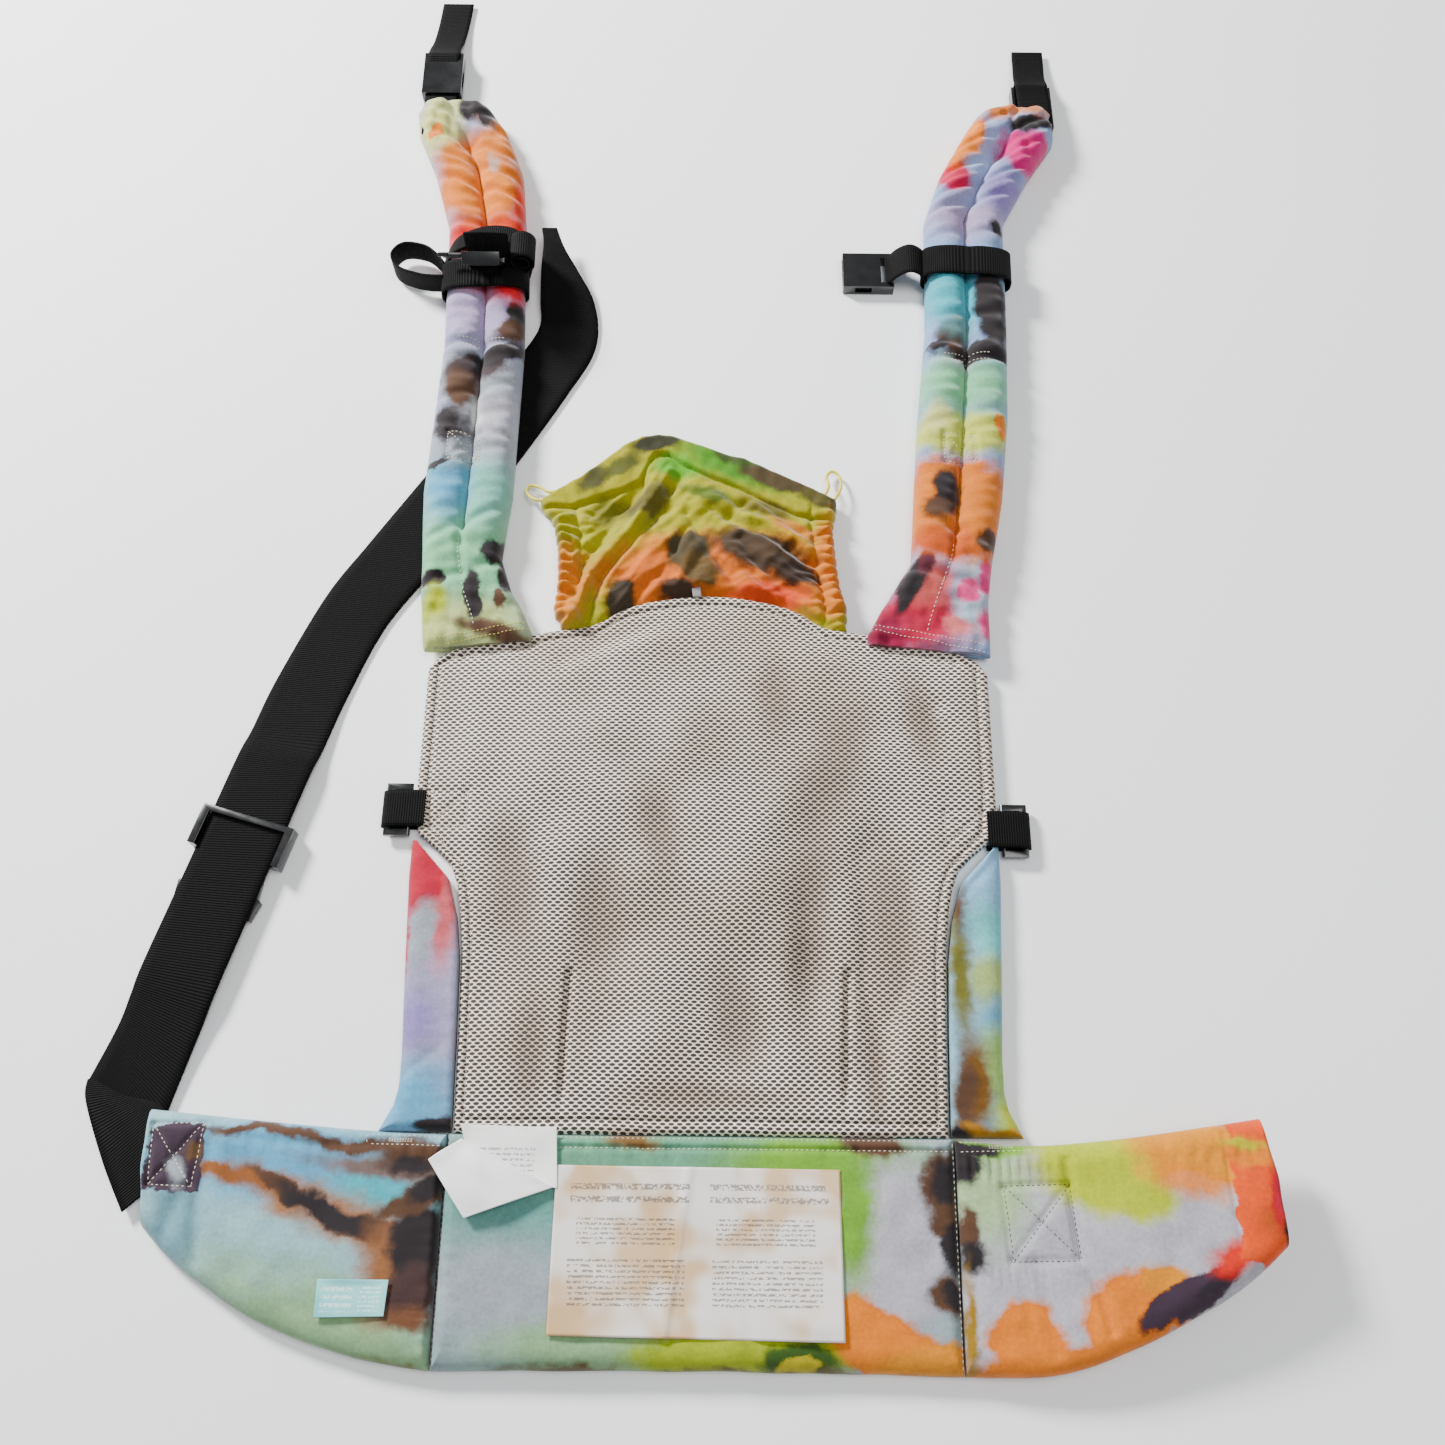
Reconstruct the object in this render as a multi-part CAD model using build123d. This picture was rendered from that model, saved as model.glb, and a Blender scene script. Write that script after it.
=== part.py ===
from build123d import *
import os
from math import cos, radians, sin

# Buckle baby carrier laid flat with its lining up: padded waistband with two wings, body panel,
# hood, two padded shoulder straps, webbing and side-release buckles.
#
# Frame: +X to the right, +Y from the waistband to the shoulder straps, +Z up. The origin is the
# middle of the waistband's underside, on the surface that the carrier lies on. Millimetres.

# ---- driving dimensions ------------------------------------------------------------------
SEAM_X = 149.0            # stitched seams between the middle of the waistband and its wings
BAND_HALF = 64.0          # half the waistband's height; the panel seam lies at +BAND_HALF
SEAM_Z = 4.0              # height of the sewn seams, where padded sections fold
PAD_Z = 14.0              # top of the padded waistband
FABRIC = 1.2              # cover cloth with its interlining
GAP = 0.3                 # clearance to the seam line on each side of a fold
PANEL_X = 187.0           # half width of the body panel
PANEL_TOP = 421.0         # top of the panel's headrest curve
SHOULDER_Y = 366.0        # outer corners of the panel, where the straps fold
NECK_Y = 393.0            # where the headrest curve starts and the hood folds
LINING_Z = 8.8            # top of the mesh lining
LEG_PAD_Z = 12.0
LEG_PAD_FOOT = 71.5       # its low edge rises away from the tilted wing
LEG_PAD_TURN = 9.8
WIDE_WEB = 50.0           # waist webbing
NARROW_WEB = 25.0         # chest and shoulder webbing
WEB_T = 1.6
STRAP_LOW = 4.0           # underside of the shoulder straps; webbing passes below them
STRAP_MID = 12.0          # where the two tubes of a strap part
STRAP_HIGH = 22.0
WING_TILT = 7.0           # degrees; the right wing lies on the buckle below it
RUN_HEADING = 74.0        # degrees from +X, direction of the waist webbing at its plug
PLUG_AT = (-295.0, 245.0)
RAISED_Z = 6.2            # underside of the waist webbing where it passes over the plug
LABEL_T = 0.4

UP = (0, 0, 1)
parts = {}


# ---- small helpers -----------------------------------------------------------------------
def flat(points):
    """A face on the XY plane; its points are taken anticlockwise, so that it looks up."""
    turn = sum(a[0] * b[1] - b[0] * a[1] for a, b in zip(points, points[1:] + points[:1]))
    anticlockwise = points if turn > 0 else points[::-1]
    return make_face(Polyline(*anticlockwise, close=True))


def plate(points, low, high):
    return extrude(Pos(0, 0, low) * flat(points), amount=high - low, dir=UP)


def block(x0, x1, y0, y1, z0, z1):
    size = (x1 - x0, y1 - y0, z1 - z0)
    return Pos((x0 + x1) / 2, (y0 + y1) / 2, (z0 + z1) / 2) * Box(*size)


def mirrored(points):
    return [(-x, y) for x, y in reversed(points)]


def cushion(points, low, high, inset=0.0):
    """A pad with upright sides up to its seam and sides leaning in at 45 degrees above it."""
    face = flat(points)
    if inset:
        face = offset(face, amount=-inset, kind=Kind.INTERSECTION)
    foot = extrude(Pos(0, 0, low) * face, amount=SEAM_Z - low, dir=UP)
    crown = extrude(Pos(0, 0, SEAM_Z) * face, amount=high - SEAM_Z, dir=UP, taper=45)
    return foot + crown


def stuffed(points):
    """Outer fabric, lining and foam of one section of the waistband."""
    foam = cushion(points, FABRIC, PAD_Z - FABRIC, inset=1.5 * FABRIC)
    shell = cushion(points, 0.0, PAD_Z) - foam
    above = block(-400, 400, -100, 100, SEAM_Z, 40)
    return shell - above, shell & above, foam


def fold_relief(back, lean=0.0, turn=0.0, side=1):
    """The wedge that a part beyond the waist seam leaves open so that it can stand upright."""
    start = GAP + lean
    profile = Polyline((0, -8, SEAM_Z), (0, start, SEAM_Z), (0, start + 26, 30), (0, -8, 30),
                       close=True)
    wedge = Pos(-back, 0, 0) * extrude(make_face(profile), amount=2 * back, dir=(1, 0, 0))
    return Pos(side * SEAM_X, BAND_HALF, 0) * Rot(0, 0, side * turn) * wedge


def ribbon(path, width, low, high):
    """A flat webbing that turns in its own plane, as an outline round a centre line."""
    left, right = [], []
    for i, point in enumerate(path):
        before = Vector(*path[max(i - 1, 0)])
        after = Vector(*path[min(i + 1, len(path) - 1)])
        along = (after - before).normalized()
        side = Vector(-along.Y, along.X) * (width / 2)
        left.append((point[0] + side.X, point[1] + side.Y))
        right.append((point[0] - side.X, point[1] - side.Y))
    return plate(left + right[::-1], low, high)


def side_profile(points, width):
    """A strip drawn from the side, along Y and Z, and given its width along X."""
    face = make_face(Polyline(*[(0, y, z) for y, z in points], close=True))
    return Pos(-width / 2, 0, 0) * extrude(face, amount=width, dir=(1, 0, 0))


# ---- buckles, each drawn with its webbing bar across X ------------------------------------
BAR_R = 2.0


def socket_buckle(web, length, height, wall):
    """Female half: bar at Y=0, mouth at Y=length, underside at Z=0."""
    half = web / 2 + 6
    window_end = 7.5
    body = block(-half, half, -BAR_R, length, 0, height)
    body -= block(-web / 2 - 1, web / 2 + 1, -BAR_R - 1, window_end, -1, height + 1)
    body -= block(-half + 3, half - 3, window_end + 3, length + 1, wall, height - wall)
    for side in (-1, 1):
        inner, outer = sorted((side * (half - 4), side * (half + 1)))
        body -= block(inner, outer, window_end + 7, length - 9, 2, height - 2)
    bar = Pos(0, 0, height / 2) * Rot(0, 90, 0) * Cylinder(BAR_R, web + 4)
    return body + bar


PLUG_HALF_LENGTH = 13.5


def plug_frame(web, web_low, height):
    """Male half without its latches: slotted frame round Y=0, guide tongue towards +Y."""
    half = web / 2 + 6
    length = PLUG_HALF_LENGTH
    frame = block(-half, half, -length, length, 0, height)
    frame -= block(-web / 2 - 1, web / 2 + 1, -length - 1, length + 1, -1, height + 1)
    low_bar = (0, web_low - 0.4)
    high_bar = (web_low + WEB_T + 0.4, height)
    for y0, y1, (z0, z1) in ((-length, -length + 4, high_bar), (-2, 2, low_bar),
                             (length - 4, length, low_bar)):
        frame += block(-half + 1, half - 1, y0, y1, z0, z1)
    frame += block(-web / 10, web / 10, length - 1, length + web * 0.45, 1, web_low - 1)
    return frame


def plug_latch(web, web_low, side):
    """One springing arm with its barb, rooted at the frame's front bar."""
    length = PLUG_HALF_LENGTH
    root, tip = length + GAP, length + 0.72 * web
    outline = [(web * 0.36, root), (web * 0.44, root), (web * 0.50, tip - web * 0.3),
               (web * 0.56, tip - web * 0.26), (web * 0.52, tip), (web * 0.40, tip),
               (web * 0.40, tip - web * 0.3)]
    if side < 0:
        outline = mirrored(outline)
    return plate(outline, 0.6, web_low - 0.6)


# ---- waistband ---------------------------------------------------------------------------
def make_waistband():
    edge = SEAM_X - GAP
    low, high = -BAND_HALF, BAND_HALF - GAP
    middle = [(-edge, low), (edge, low), (edge, high), (-edge, high)]
    outer, lining, foam = stuffed(middle)
    parts["waistband_outer_fabric"] = outer
    parts["waistband_lining"] = lining
    parts["waistband_foam"] = foam
    label = [(-84, -45), (82, -47), (81, 45), (-83, 46)]
    parts["information_label"] = plate(label, PAD_Z, PAD_Z + LABEL_T)
    tag = [(-137.5, 57.5), (-87, 57.5), (-84, 33), (-134, 15)]
    parts["care_tag"] = plate(tag, PAD_Z + 0.7, PAD_Z + 1.5)


WING = [(SEAM_X + GAP, -BAND_HALF), (190, -56), (245, -37), (286, -16), (330, 14),
        (327, 73), (200, 65.6), (SEAM_X + GAP, BAND_HALF - GAP)]


def make_left_wing():
    outer, lining, foam = stuffed(mirrored(WING))
    anchor_outline = [(-367, 69), (-334, 19), (-296, 19), (-296, 69)]
    anchor = plate(anchor_outline, 1.8, 1.8 + WEB_T)
    parts["left_wing_outer_fabric"] = outer - anchor
    parts["left_wing_lining"] = lining
    parts["left_wing_foam"] = foam - anchor
    parts["left_wing_webbing_anchor"] = anchor
    small_label = [(-214, -37), (-174, -36), (-175, -17), (-214, -17)]
    parts["fabric_label"] = plate(small_label, PAD_Z, PAD_Z + LABEL_T)


SOCKET_AT = (246.2, 17.0)
WAIST_SOCKET = dict(web=WIDE_WEB, length=41.0, height=10.5, wall=1.6)


def make_right_wing():
    fold = Axis((SEAM_X, 0, SEAM_Z), (0, 1, 0))
    outer, lining, foam = stuffed(WING)
    flap_outline = [(303, 6), (314, 14), (320, 19), (318, 62), (301, 60)]
    flap = plate(flap_outline, PAD_Z, PAD_Z + 1)
    parts["right_wing_outer_fabric"] = outer.rotate(fold, -WING_TILT)
    parts["right_wing_lining"] = lining.rotate(fold, -WING_TILT)
    parts["right_wing_foam"] = foam.rotate(fold, -WING_TILT)
    parts["right_wing_end_flap"] = flap.rotate(fold, -WING_TILT)

    bar_x, bar_y = SOCKET_AT
    low, high = bar_y - WIDE_WEB / 2, bar_y + WIDE_WEB / 2
    centre_z = WAIST_SOCKET["height"] / 2
    tab = block(176, 222, low, high, -WEB_T, 0).rotate(fold, -WING_TILT)
    bridge = block(220.5, 243, low, high, 7.0, 8.6)
    loop = block(bar_x - 4.6, bar_x + 4.4, low, high, 1.0, 9.2)
    loop -= block(bar_x - 3.2, bar_x + 3.0, low - 1, high + 1, centre_z - 2.8, centre_z + 2.6)
    parts["waist_socket_webbing"] = tab + bridge + loop
    socket = Pos(bar_x, bar_y, 0) * Rot(0, 0, -90) * socket_buckle(**WAIST_SOCKET)
    parts["waist_buckle_socket"] = socket


def make_waist_webbing():
    heading = radians(RUN_HEADING)
    place = Pos(*PLUG_AT, 0) * Rot(0, 0, RUN_HEADING - 90)
    start, up, down, end = -115, -95, 50, 70
    top = RAISED_Z + WEB_T

    def on_run(along, across):
        x = PLUG_AT[0] + along * cos(heading) + across * sin(heading)
        y = PLUG_AT[1] + along * sin(heading) - across * cos(heading)
        return (x, y)

    half = WIDE_WEB / 2
    near = [on_run(start, -half), (-368, 96), (-367, 74), (-335, 26), (-331.5, 30),
            (-331.5, 76), on_run(start, half)]
    rise = [(start, 0), (up, RAISED_Z), (up, top), (start, WEB_T)]
    over = [(up, RAISED_Z), (down, RAISED_Z), (down, top), (up, top)]
    drop = [(down, RAISED_Z), (end, 0), (end, WEB_T), (down, top)]
    stretches = [place * side_profile(side, WIDE_WEB) for side in (rise, over, drop)]
    parts["waist_webbing"] = Compound(children=[plate(near, 0, WEB_T)] + stretches)

    tail_path = [on_run(end, 0), on_run(end + 12, 0), (-254, 358), (-232, 417), (-210, 451),
                 (-189, 480), (-148, 540), (-131, 574), (-118, 603), (-115, 628), (-116, 652)]
    last = [(-141, 652), (-91, 652), (-97, 690), (-102, 700), (-122, 700)]
    hem = block(-121, -102, 698, 728, 0, WEB_T + 0.3)
    parts["waist_webbing_tail"] = ribbon(tail_path, WIDE_WEB, 0, WEB_T) + plate(last, 0, WEB_T) + hem

    turn = Pos(*PLUG_AT, 0) * Rot(0, 0, RUN_HEADING + 90)
    height = RAISED_Z + WEB_T + 3.2
    parts["waist_plug_frame"] = turn * plug_frame(WIDE_WEB, RAISED_Z, height)
    for name, side_sign in (("right", -1), ("left", 1)):
        latch = turn * plug_latch(WIDE_WEB, RAISED_Z, side_sign)
        parts[f"waist_plug_{name}_latch"] = latch


# ---- body panel --------------------------------------------------------------------------
TOP_EDGE = [(PANEL_X, SHOULDER_Y - 2), (170, 379), (135, 386), (106, NECK_Y), (80, 397),
            (63, 408), (40, 416), (0, PANEL_TOP)]


def whole_outline(half):
    """A closed outline from the right half's points, bottom to top, ending on X=0."""
    return half + [(-x, y) for x, y in reversed(half[:-1])]


def make_panel():
    bottom = BAND_HALF + GAP
    canvas = [(190, bottom + 2), (181, 90), (181, 110), (183, 144), (PANEL_X, 220)]
    canvas = [(SEAM_X, bottom)] + canvas + TOP_EDGE
    parts["panel_outer_canvas"] = plate(whole_outline(canvas), 0, FABRIC)
    mesh = [(146, bottom), (148, 124), (150, 169), (153, 194), (160, 220), (174, 235),
            (183, 246), (PANEL_X, 273)] + TOP_EDGE
    relief = fold_relief(400)
    padding = plate(whole_outline(mesh), FABRIC, 6.2) - relief
    lining = plate(whole_outline(mesh), 6.2, LINING_Z) - relief
    for side, name in ((-1, "left"), (1, "right")):
        pocket = sorted((side * 170, side * 190))
        padding -= block(*pocket, *ADJUSTER_SPAN[name], 3, 4.6)
    parts["panel_padding"] = padding
    parts["panel_mesh_lining"] = lining
    parts["hanging_tab"] = block(-11, -5, PANEL_TOP - 9, PANEL_TOP - 1, LINING_Z, LINING_Z + 1)

    pad = [(149, bottom), (150.8, 124), (152.6, 169), (156, 194), (163, 219), (175, 232),
           (186, 242), (PANEL_X, 220), (183, 144), (181, 110), (181, 90), (189, LEG_PAD_FOOT)]
    for side, name, outline in ((1, "right", pad), (-1, "left", mirrored(pad))):
        core_face = offset(flat(outline), amount=-1.6, kind=Kind.INTERSECTION)
        core = extrude(Pos(0, 0, 2 * FABRIC) * core_face, amount=LEG_PAD_Z - 3 * FABRIC, dir=UP)
        core -= fold_relief(400, 3.0, LEG_PAD_TURN, side)
        cover = plate(outline, FABRIC, LEG_PAD_Z) - fold_relief(400, 0.3, LEG_PAD_TURN, side) - core
        parts[f"{name}_leg_pad_cover"] = cover
        parts[f"{name}_leg_pad_foam"] = core


# ---- side adjusters ----------------------------------------------------------------------
ADJUSTER_Y = {"left": 265.0, "right": 255.0}
ADJUSTER_SPAN = {name: (y - NARROW_WEB / 2, y + NARROW_WEB / 2) for name, y in ADJUSTER_Y.items()}
ADJUSTER_X = 190.8        # axis of the bar that the frame turns on
ADJUSTER_Z = 5.0
ADJUSTER_BAR = 1.6


def make_side_adjuster(name, side):
    y0, y1 = ADJUSTER_SPAN[name]
    loop = block(PANEL_X + 0.2, ADJUSTER_X + 3.6, y0, y1, ADJUSTER_Z - 3.5, ADJUSTER_Z + 3.5)
    loop -= block(PANEL_X + 1.4, ADJUSTER_X + 2.4, y0 - 1, y1 + 1, ADJUSTER_Z - 2.3,
                  ADJUSTER_Z + 2.3)
    tape = block(170, PANEL_X + 0.3, y0, y1, 3, 4.6)
    webbing = loop + tape
    frame = block(ADJUSTER_X, 206, y0 - 5, y1 + 5, ADJUSTER_Z - 1.6, ADJUSTER_Z + 1.6)
    frame -= block(ADJUSTER_X - 1, 202, y0 - 1, y1 + 1, -1, 20)
    bar = Pos(ADJUSTER_X, (y0 + y1) / 2, ADJUSTER_Z) * Rot(90, 0, 0)
    frame += bar * Cylinder(ADJUSTER_BAR, y1 - y0 + 10)
    if side < 0:
        webbing = mirror(webbing, about=Plane.YZ)
        frame = mirror(frame, about=Plane.YZ)
    parts[f"{name}_side_adjuster_webbing"] = webbing
    parts[f"{name}_side_adjuster_frame"] = frame


# ---- hood --------------------------------------------------------------------------------
def make_hood():
    clear = 0.5
    neck = [(x, y + clear) for x, y in TOP_EDGE[3:]]
    base = [(-x, y) for x, y in neck[:-1]] + neck[::-1]
    right_side = [(93, 410), (88, 433), (84, 470), (88, 496)]
    top = [(56, 513), (24, 529), (-28, 548), (-49, 546), (-76, 529), (-92, 513), (-118, 496)]
    left_side = [(-108, 480), (-101, 433), (-104, 410)]
    cloth = base[:-1] + right_side + top + left_side
    parts["hood_cloth"] = plate(cloth, 1.5, 5.5)
    lower = [(x + 4, y - 20) for x, y in reversed(top[1:-1])]
    band = [(84, 478)] + [(86, 496)] + top[:-1] + [(-114, 496), (-104, 480)] + lower + [(54, 490)]
    parts["hood_top_band"] = plate(band, 5.5, 6.9)
    left_elastic = ribbon([(-99, 408), (-96.5, 440), (-101, 474)], 5, 5.5, 7)
    right_elastic = ribbon([(90, 408), (84, 440), (80.5, 472)], 5, 5.5, 7)
    parts["hood_side_elastics"] = Compound(children=[left_elastic, right_elastic])
    left_loop = Pos(-124.5, 502.5, 2) * Rot(0, 0, 45) * loop_of_cord(5, 12)
    right_loop = Pos(87.5, 509.5, 2) * loop_of_cord(7, 13)
    parts["left_hood_loop"] = left_loop - parts["hood_cloth"] - parts["hood_top_band"]
    parts["right_hood_loop"] = right_loop - parts["hood_cloth"] - parts["hood_top_band"]


def loop_of_cord(half_width, half_length):
    ring = Ellipse(half_width, half_length) - Ellipse(half_width - 3, half_length - 3)
    return extrude(ring, amount=3, dir=UP)


# ---- shoulder straps ---------------------------------------------------------------------
STRAPS = {
    "left": dict(
        outer=[(-189, 368), (-196, 417), (-200, 496), (-194.5, 620), (-198.5, 730),
               (-213, 784), (-234, 825), (-237, 846), (-228, 858)],
        middle=[(-162, 400), (-169, 448), (-168, 496), (-165.2, 620), (-169.2, 730),
                (-179, 784), (-197, 825), (-212, 858)],
        inner=[(-107, 394), (-131, 417), (-143, 448), (-138, 496), (-136, 620),
               (-140, 730), (-145, 784), (-159, 825), (-172, 846), (-197, 858)]),
    "right": dict(
        outer=[(189, 368), (191, 417), (196, 448), (206, 496), (215, 563), (220, 640),
               (224.5, 742), (244, 784), (268, 825), (269, 846), (260, 856)],
        middle=[(159, 400), (168, 448), (174, 496), (182, 563), (190, 640), (194.5, 742),
                (211, 784), (234, 825), (246, 856)],
        inner=[(107, 394), (122, 417), (140, 448), (144, 496), (150, 560), (160, 640),
               (164.5, 742), (178, 784), (200, 825), (217, 846), (232, 856)])}
STRAP_FOOT = [(135.5, 387.2), (171, 380.4)]   # lower edge of a strap, along the panel's top
TUBE_START = 400.0        # the two tubes of a strap begin here
TUBE_SECTIONS = {"left": [412, 417, 448, 496, 620, 730, 784, 825, 846],
                 "right": [412, 417, 448, 496, 563, 640, 742, 784, 825, 846]}
TUBE_END = 856.0
CROWN = STRAP_HIGH - STRAP_MID


def x_on(line, y):
    """X of one edge of a strap at a given Y."""
    for (x0, y0), (x1, y1) in zip(line, line[1:]):
        if y0 <= y <= y1:
            return x0 + (x1 - x0) * (y - y0) / (y1 - y0)


def arch(start, end, rise):
    """Top of one tube in cross-section, from edge to edge, with shoulders at 45 degrees."""
    rise = min(rise, 0.42 * abs(end - start))
    lean = rise if end > start else -rise
    crown_z = STRAP_MID + rise
    return [(start, STRAP_MID), (start + lean, crown_z), (end - lean, crown_z), (end, STRAP_MID)]


def skin(sections):
    """A solid through closed sections, each a Y and its points in X and Z."""
    return loft([make_face(Polyline(*[(x, y, z) for x, z in points], close=True))
                 for y, points in sections], ruled=True)


def strap_section(lines, y, rise):
    outer, middle, inner = (x_on(lines[edge], y) for edge in ("outer", "middle", "inner"))
    top = arch(outer, middle, rise) + arch(middle, inner, rise)[1:]
    return y, [(outer, STRAP_LOW)] + top + [(inner, STRAP_LOW)]


def foam_section(lines, edge, y):
    start, end = x_on(lines[edge], y), x_on(lines["middle"], y)
    inset = 2 * FABRIC if end > start else -2 * FABRIC
    start, end = start + inset, end - inset
    bottom = STRAP_LOW + FABRIC
    return y, [(start, bottom)] + arch(start, end, CROWN - 2.5) + [(end, bottom)]


def make_strap(name, side):
    lines = STRAPS[name]
    foot = [(side * x, y) for x, y in STRAP_FOOT]
    low_edge = [lines["outer"][0], (x_on(lines["outer"], TUBE_START), TUBE_START)]
    high_edge = [(x_on(lines["inner"], TUBE_START), TUBE_START), lines["inner"][0]]
    sections = [strap_section(lines, TUBE_START, 2.0)]
    along = TUBE_SECTIONS[name]
    sections += [strap_section(lines, y, CROWN) for y in along + [TUBE_END]]
    solid = skin(sections) + plate(low_edge + high_edge + foot, STRAP_LOW, STRAP_MID)
    inside = along + [TUBE_END - 2 * FABRIC]
    cores = [skin([foam_section(lines, edge, y) for y in inside])
             for edge in ("outer", "inner")]
    if name == "right":
        solid -= block(236, 282, 836, 870, 0, 13.2)
        cores = [core - block(236, 282, 836, 870, 0, 15.2) for core in cores]
    parts[f"{name}_strap_cover"] = solid - cores[0] - cores[1]
    parts[f"{name}_strap_foam"] = Compound(children=cores)


SHOULDER_BUCKLE = dict(web=NARROW_WEB, length=40.0, height=9.5, wall=1.5)
LEFT_BAR = (-214.5, 905.0)
RIGHT_BAR = (257.5, 880.0)


def make_shoulder_ends():
    bar_x, bar_y = LEFT_BAR
    half = NARROW_WEB / 2
    base = STRAP_LOW + 0.4
    height = SHOULDER_BUCKLE["height"]
    centre = base + height / 2
    web = block(bar_x - half, bar_x + half, 812, bar_y + 3, STRAP_LOW - WEB_T, STRAP_LOW)
    loop = block(bar_x - half, bar_x + half, bar_y - 4.2, bar_y + 4.4, 0.8, base + height - 0.6)
    loop -= block(bar_x - half - 1, bar_x + half + 1, bar_y - 3, bar_y + 3.2, centre - 2.8,
                  centre + 2.8)
    tail = block(bar_x - half, bar_x + half, bar_y + 4, bar_y + 34, 4, 5.6)
    folded = block(bar_x - half + 3, bar_x + half + 7, bar_y + 24, bar_y + 70, 0.2, 5.6)
    folded -= block(bar_x - half + 2, bar_x + half + 8, bar_y + 23, bar_y + 66, 1.8, 4)
    parts["left_shoulder_webbing"] = web + loop + tail + folded
    buckle = Pos(bar_x, bar_y, base) * Rot(0, 0, 180) * socket_buckle(**SHOULDER_BUCKLE)
    parts["left_shoulder_buckle"] = buckle

    bar_x, bar_y = RIGHT_BAR
    centre = height / 2
    top = 13.2
    web = block(bar_x - half, bar_x + half, 838, bar_y + 2, top - WEB_T, top)
    loop = block(bar_x - half, bar_x + half, bar_y - 4.2, bar_y + 4.4, 0.9, top)
    loop -= block(bar_x - half - 1, bar_x + half + 1, bar_y - 3, bar_y + 3.2, centre - 2.8,
                  centre + 2.8)
    tail = block(bar_x - half, bar_x + half, bar_y + 4, bar_y + 46, 6, 7.6)
    folded = block(bar_x - half + 2, bar_x + half + 2, bar_y + 8, bar_y + 46, 1.5, 7.6)
    folded -= block(bar_x - half + 1, bar_x + half + 3, bar_y + 7, bar_y + 42, 3.1, 6)
    parts["right_shoulder_webbing"] = web + loop + tail + folded
    buckle = Pos(bar_x, bar_y, 0) * Rot(0, 0, 180) * socket_buckle(**SHOULDER_BUCKLE)
    parts["right_shoulder_buckle"] = buckle


# ---- chest strap -------------------------------------------------------------------------
BAND_T = 1.4
BANDS = {"left": dict(at=(-167.0, 670), width=60.4, turn=2.1),
         "right": dict(at=(192.4, 694.5), width=62.0, turn=-2.5)}
CHEST_BUCKLE = dict(web=NARROW_WEB, length=36.0, height=9.0, wall=1.5)
CHEST_SOCKET_AT = (137.0, 698.0)
CHEST_PLUG_AT = (-164.5, 692.0)
CHEST_PLUG_Z = 26.0


def chest_band(name):
    spec = BANDS[name]
    half = spec["width"] / 2
    reach = NARROW_WEB / 2
    inner_low, inner_high = STRAP_LOW - 0.5, STRAP_HIGH + 0.6
    band = block(-half - BAND_T, half + BAND_T, -reach, reach, inner_low - BAND_T,
                 inner_high + BAND_T)
    band -= block(-half, half, -reach - 1, reach + 1, inner_low, inner_high)
    return Pos(*spec["at"], 0) * Rot(0, 0, spec["turn"]) * band


def make_chest_strap():
    parts["left_chest_band"] = chest_band("left")
    bar_x, bar_y = CHEST_SOCKET_AT
    half = NARROW_WEB / 2
    centre = CHEST_BUCKLE["height"] / 2
    loop = block(bar_x - 4.4, bar_x + 4.2, bar_y - half, bar_y + half, 0.6, 8.4)
    loop -= block(bar_x - 3.1, bar_x + 3, bar_y - half - 1, bar_y + half + 1, centre - 2.7,
                  centre + 2.7)
    lead = block(bar_x + 4, 161.4, bar_y - half, bar_y + half, 6.8, 8.4)
    parts["right_chest_band"] = chest_band("right") + lead + loop
    socket = Pos(bar_x, bar_y, 0) * Rot(0, 0, 90) * socket_buckle(**CHEST_BUCKLE)
    parts["chest_buckle_socket"] = socket

    web_low = 4.4
    height = web_low + WEB_T + 3
    lean = Pos(*CHEST_PLUG_AT, CHEST_PLUG_Z + 18.5) * Rot(90, 0, 0) * Rot(0, 0, 90)
    parts["chest_plug_frame"] = lean * plug_frame(NARROW_WEB, web_low, height)
    for latch_name, sign in (("upper", 1), ("lower", -1)):
        latch = lean * plug_latch(NARROW_WEB, web_low, sign)
        parts[f"chest_plug_{latch_name}_latch"] = latch
    strip = block(-half, half, -22, 12, web_low, web_low + WEB_T)
    parts["chest_plug_webbing"] = lean * strip
    ring = Ellipse(17, 12) - Ellipse(14, 9)
    tail = Pos(-219.5, 692, 3) * Rot(0, 0, 35) * extrude(ring, amount=20, dir=UP)
    bridge = block(-222, -198, 677, 681, 3, 21)
    parts["left_chest_tail"] = (tail + bridge) - parts["left_chest_band"]


def main():
    make_waistband()
    make_left_wing()
    make_right_wing()
    make_waist_webbing()
    make_panel()
    make_hood()
    for name, side in (("left", -1), ("right", 1)):
        make_side_adjuster(name, side)
        make_strap(name, side)
    make_shoulder_ends()
    make_chest_strap()
    os.makedirs("parts", exist_ok=True)
    for name, shape in parts.items():
        shape.label = name
        export_step(shape, f"parts/{name}.step")


main()
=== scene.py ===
"""Looks of a buckle baby carrier laid flat with its lining up: tie-dyed padded waistband, straps
and hood, spacer-mesh lining, ribbed black webbing and glossy side-release buckles.
Lengths in this script are millimetres until a mesh is put in the scene."""
import math
import bmesh
import bpy
from mathutils import Matrix, Vector, noise
from mathutils.bvhtree import BVHTree


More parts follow.
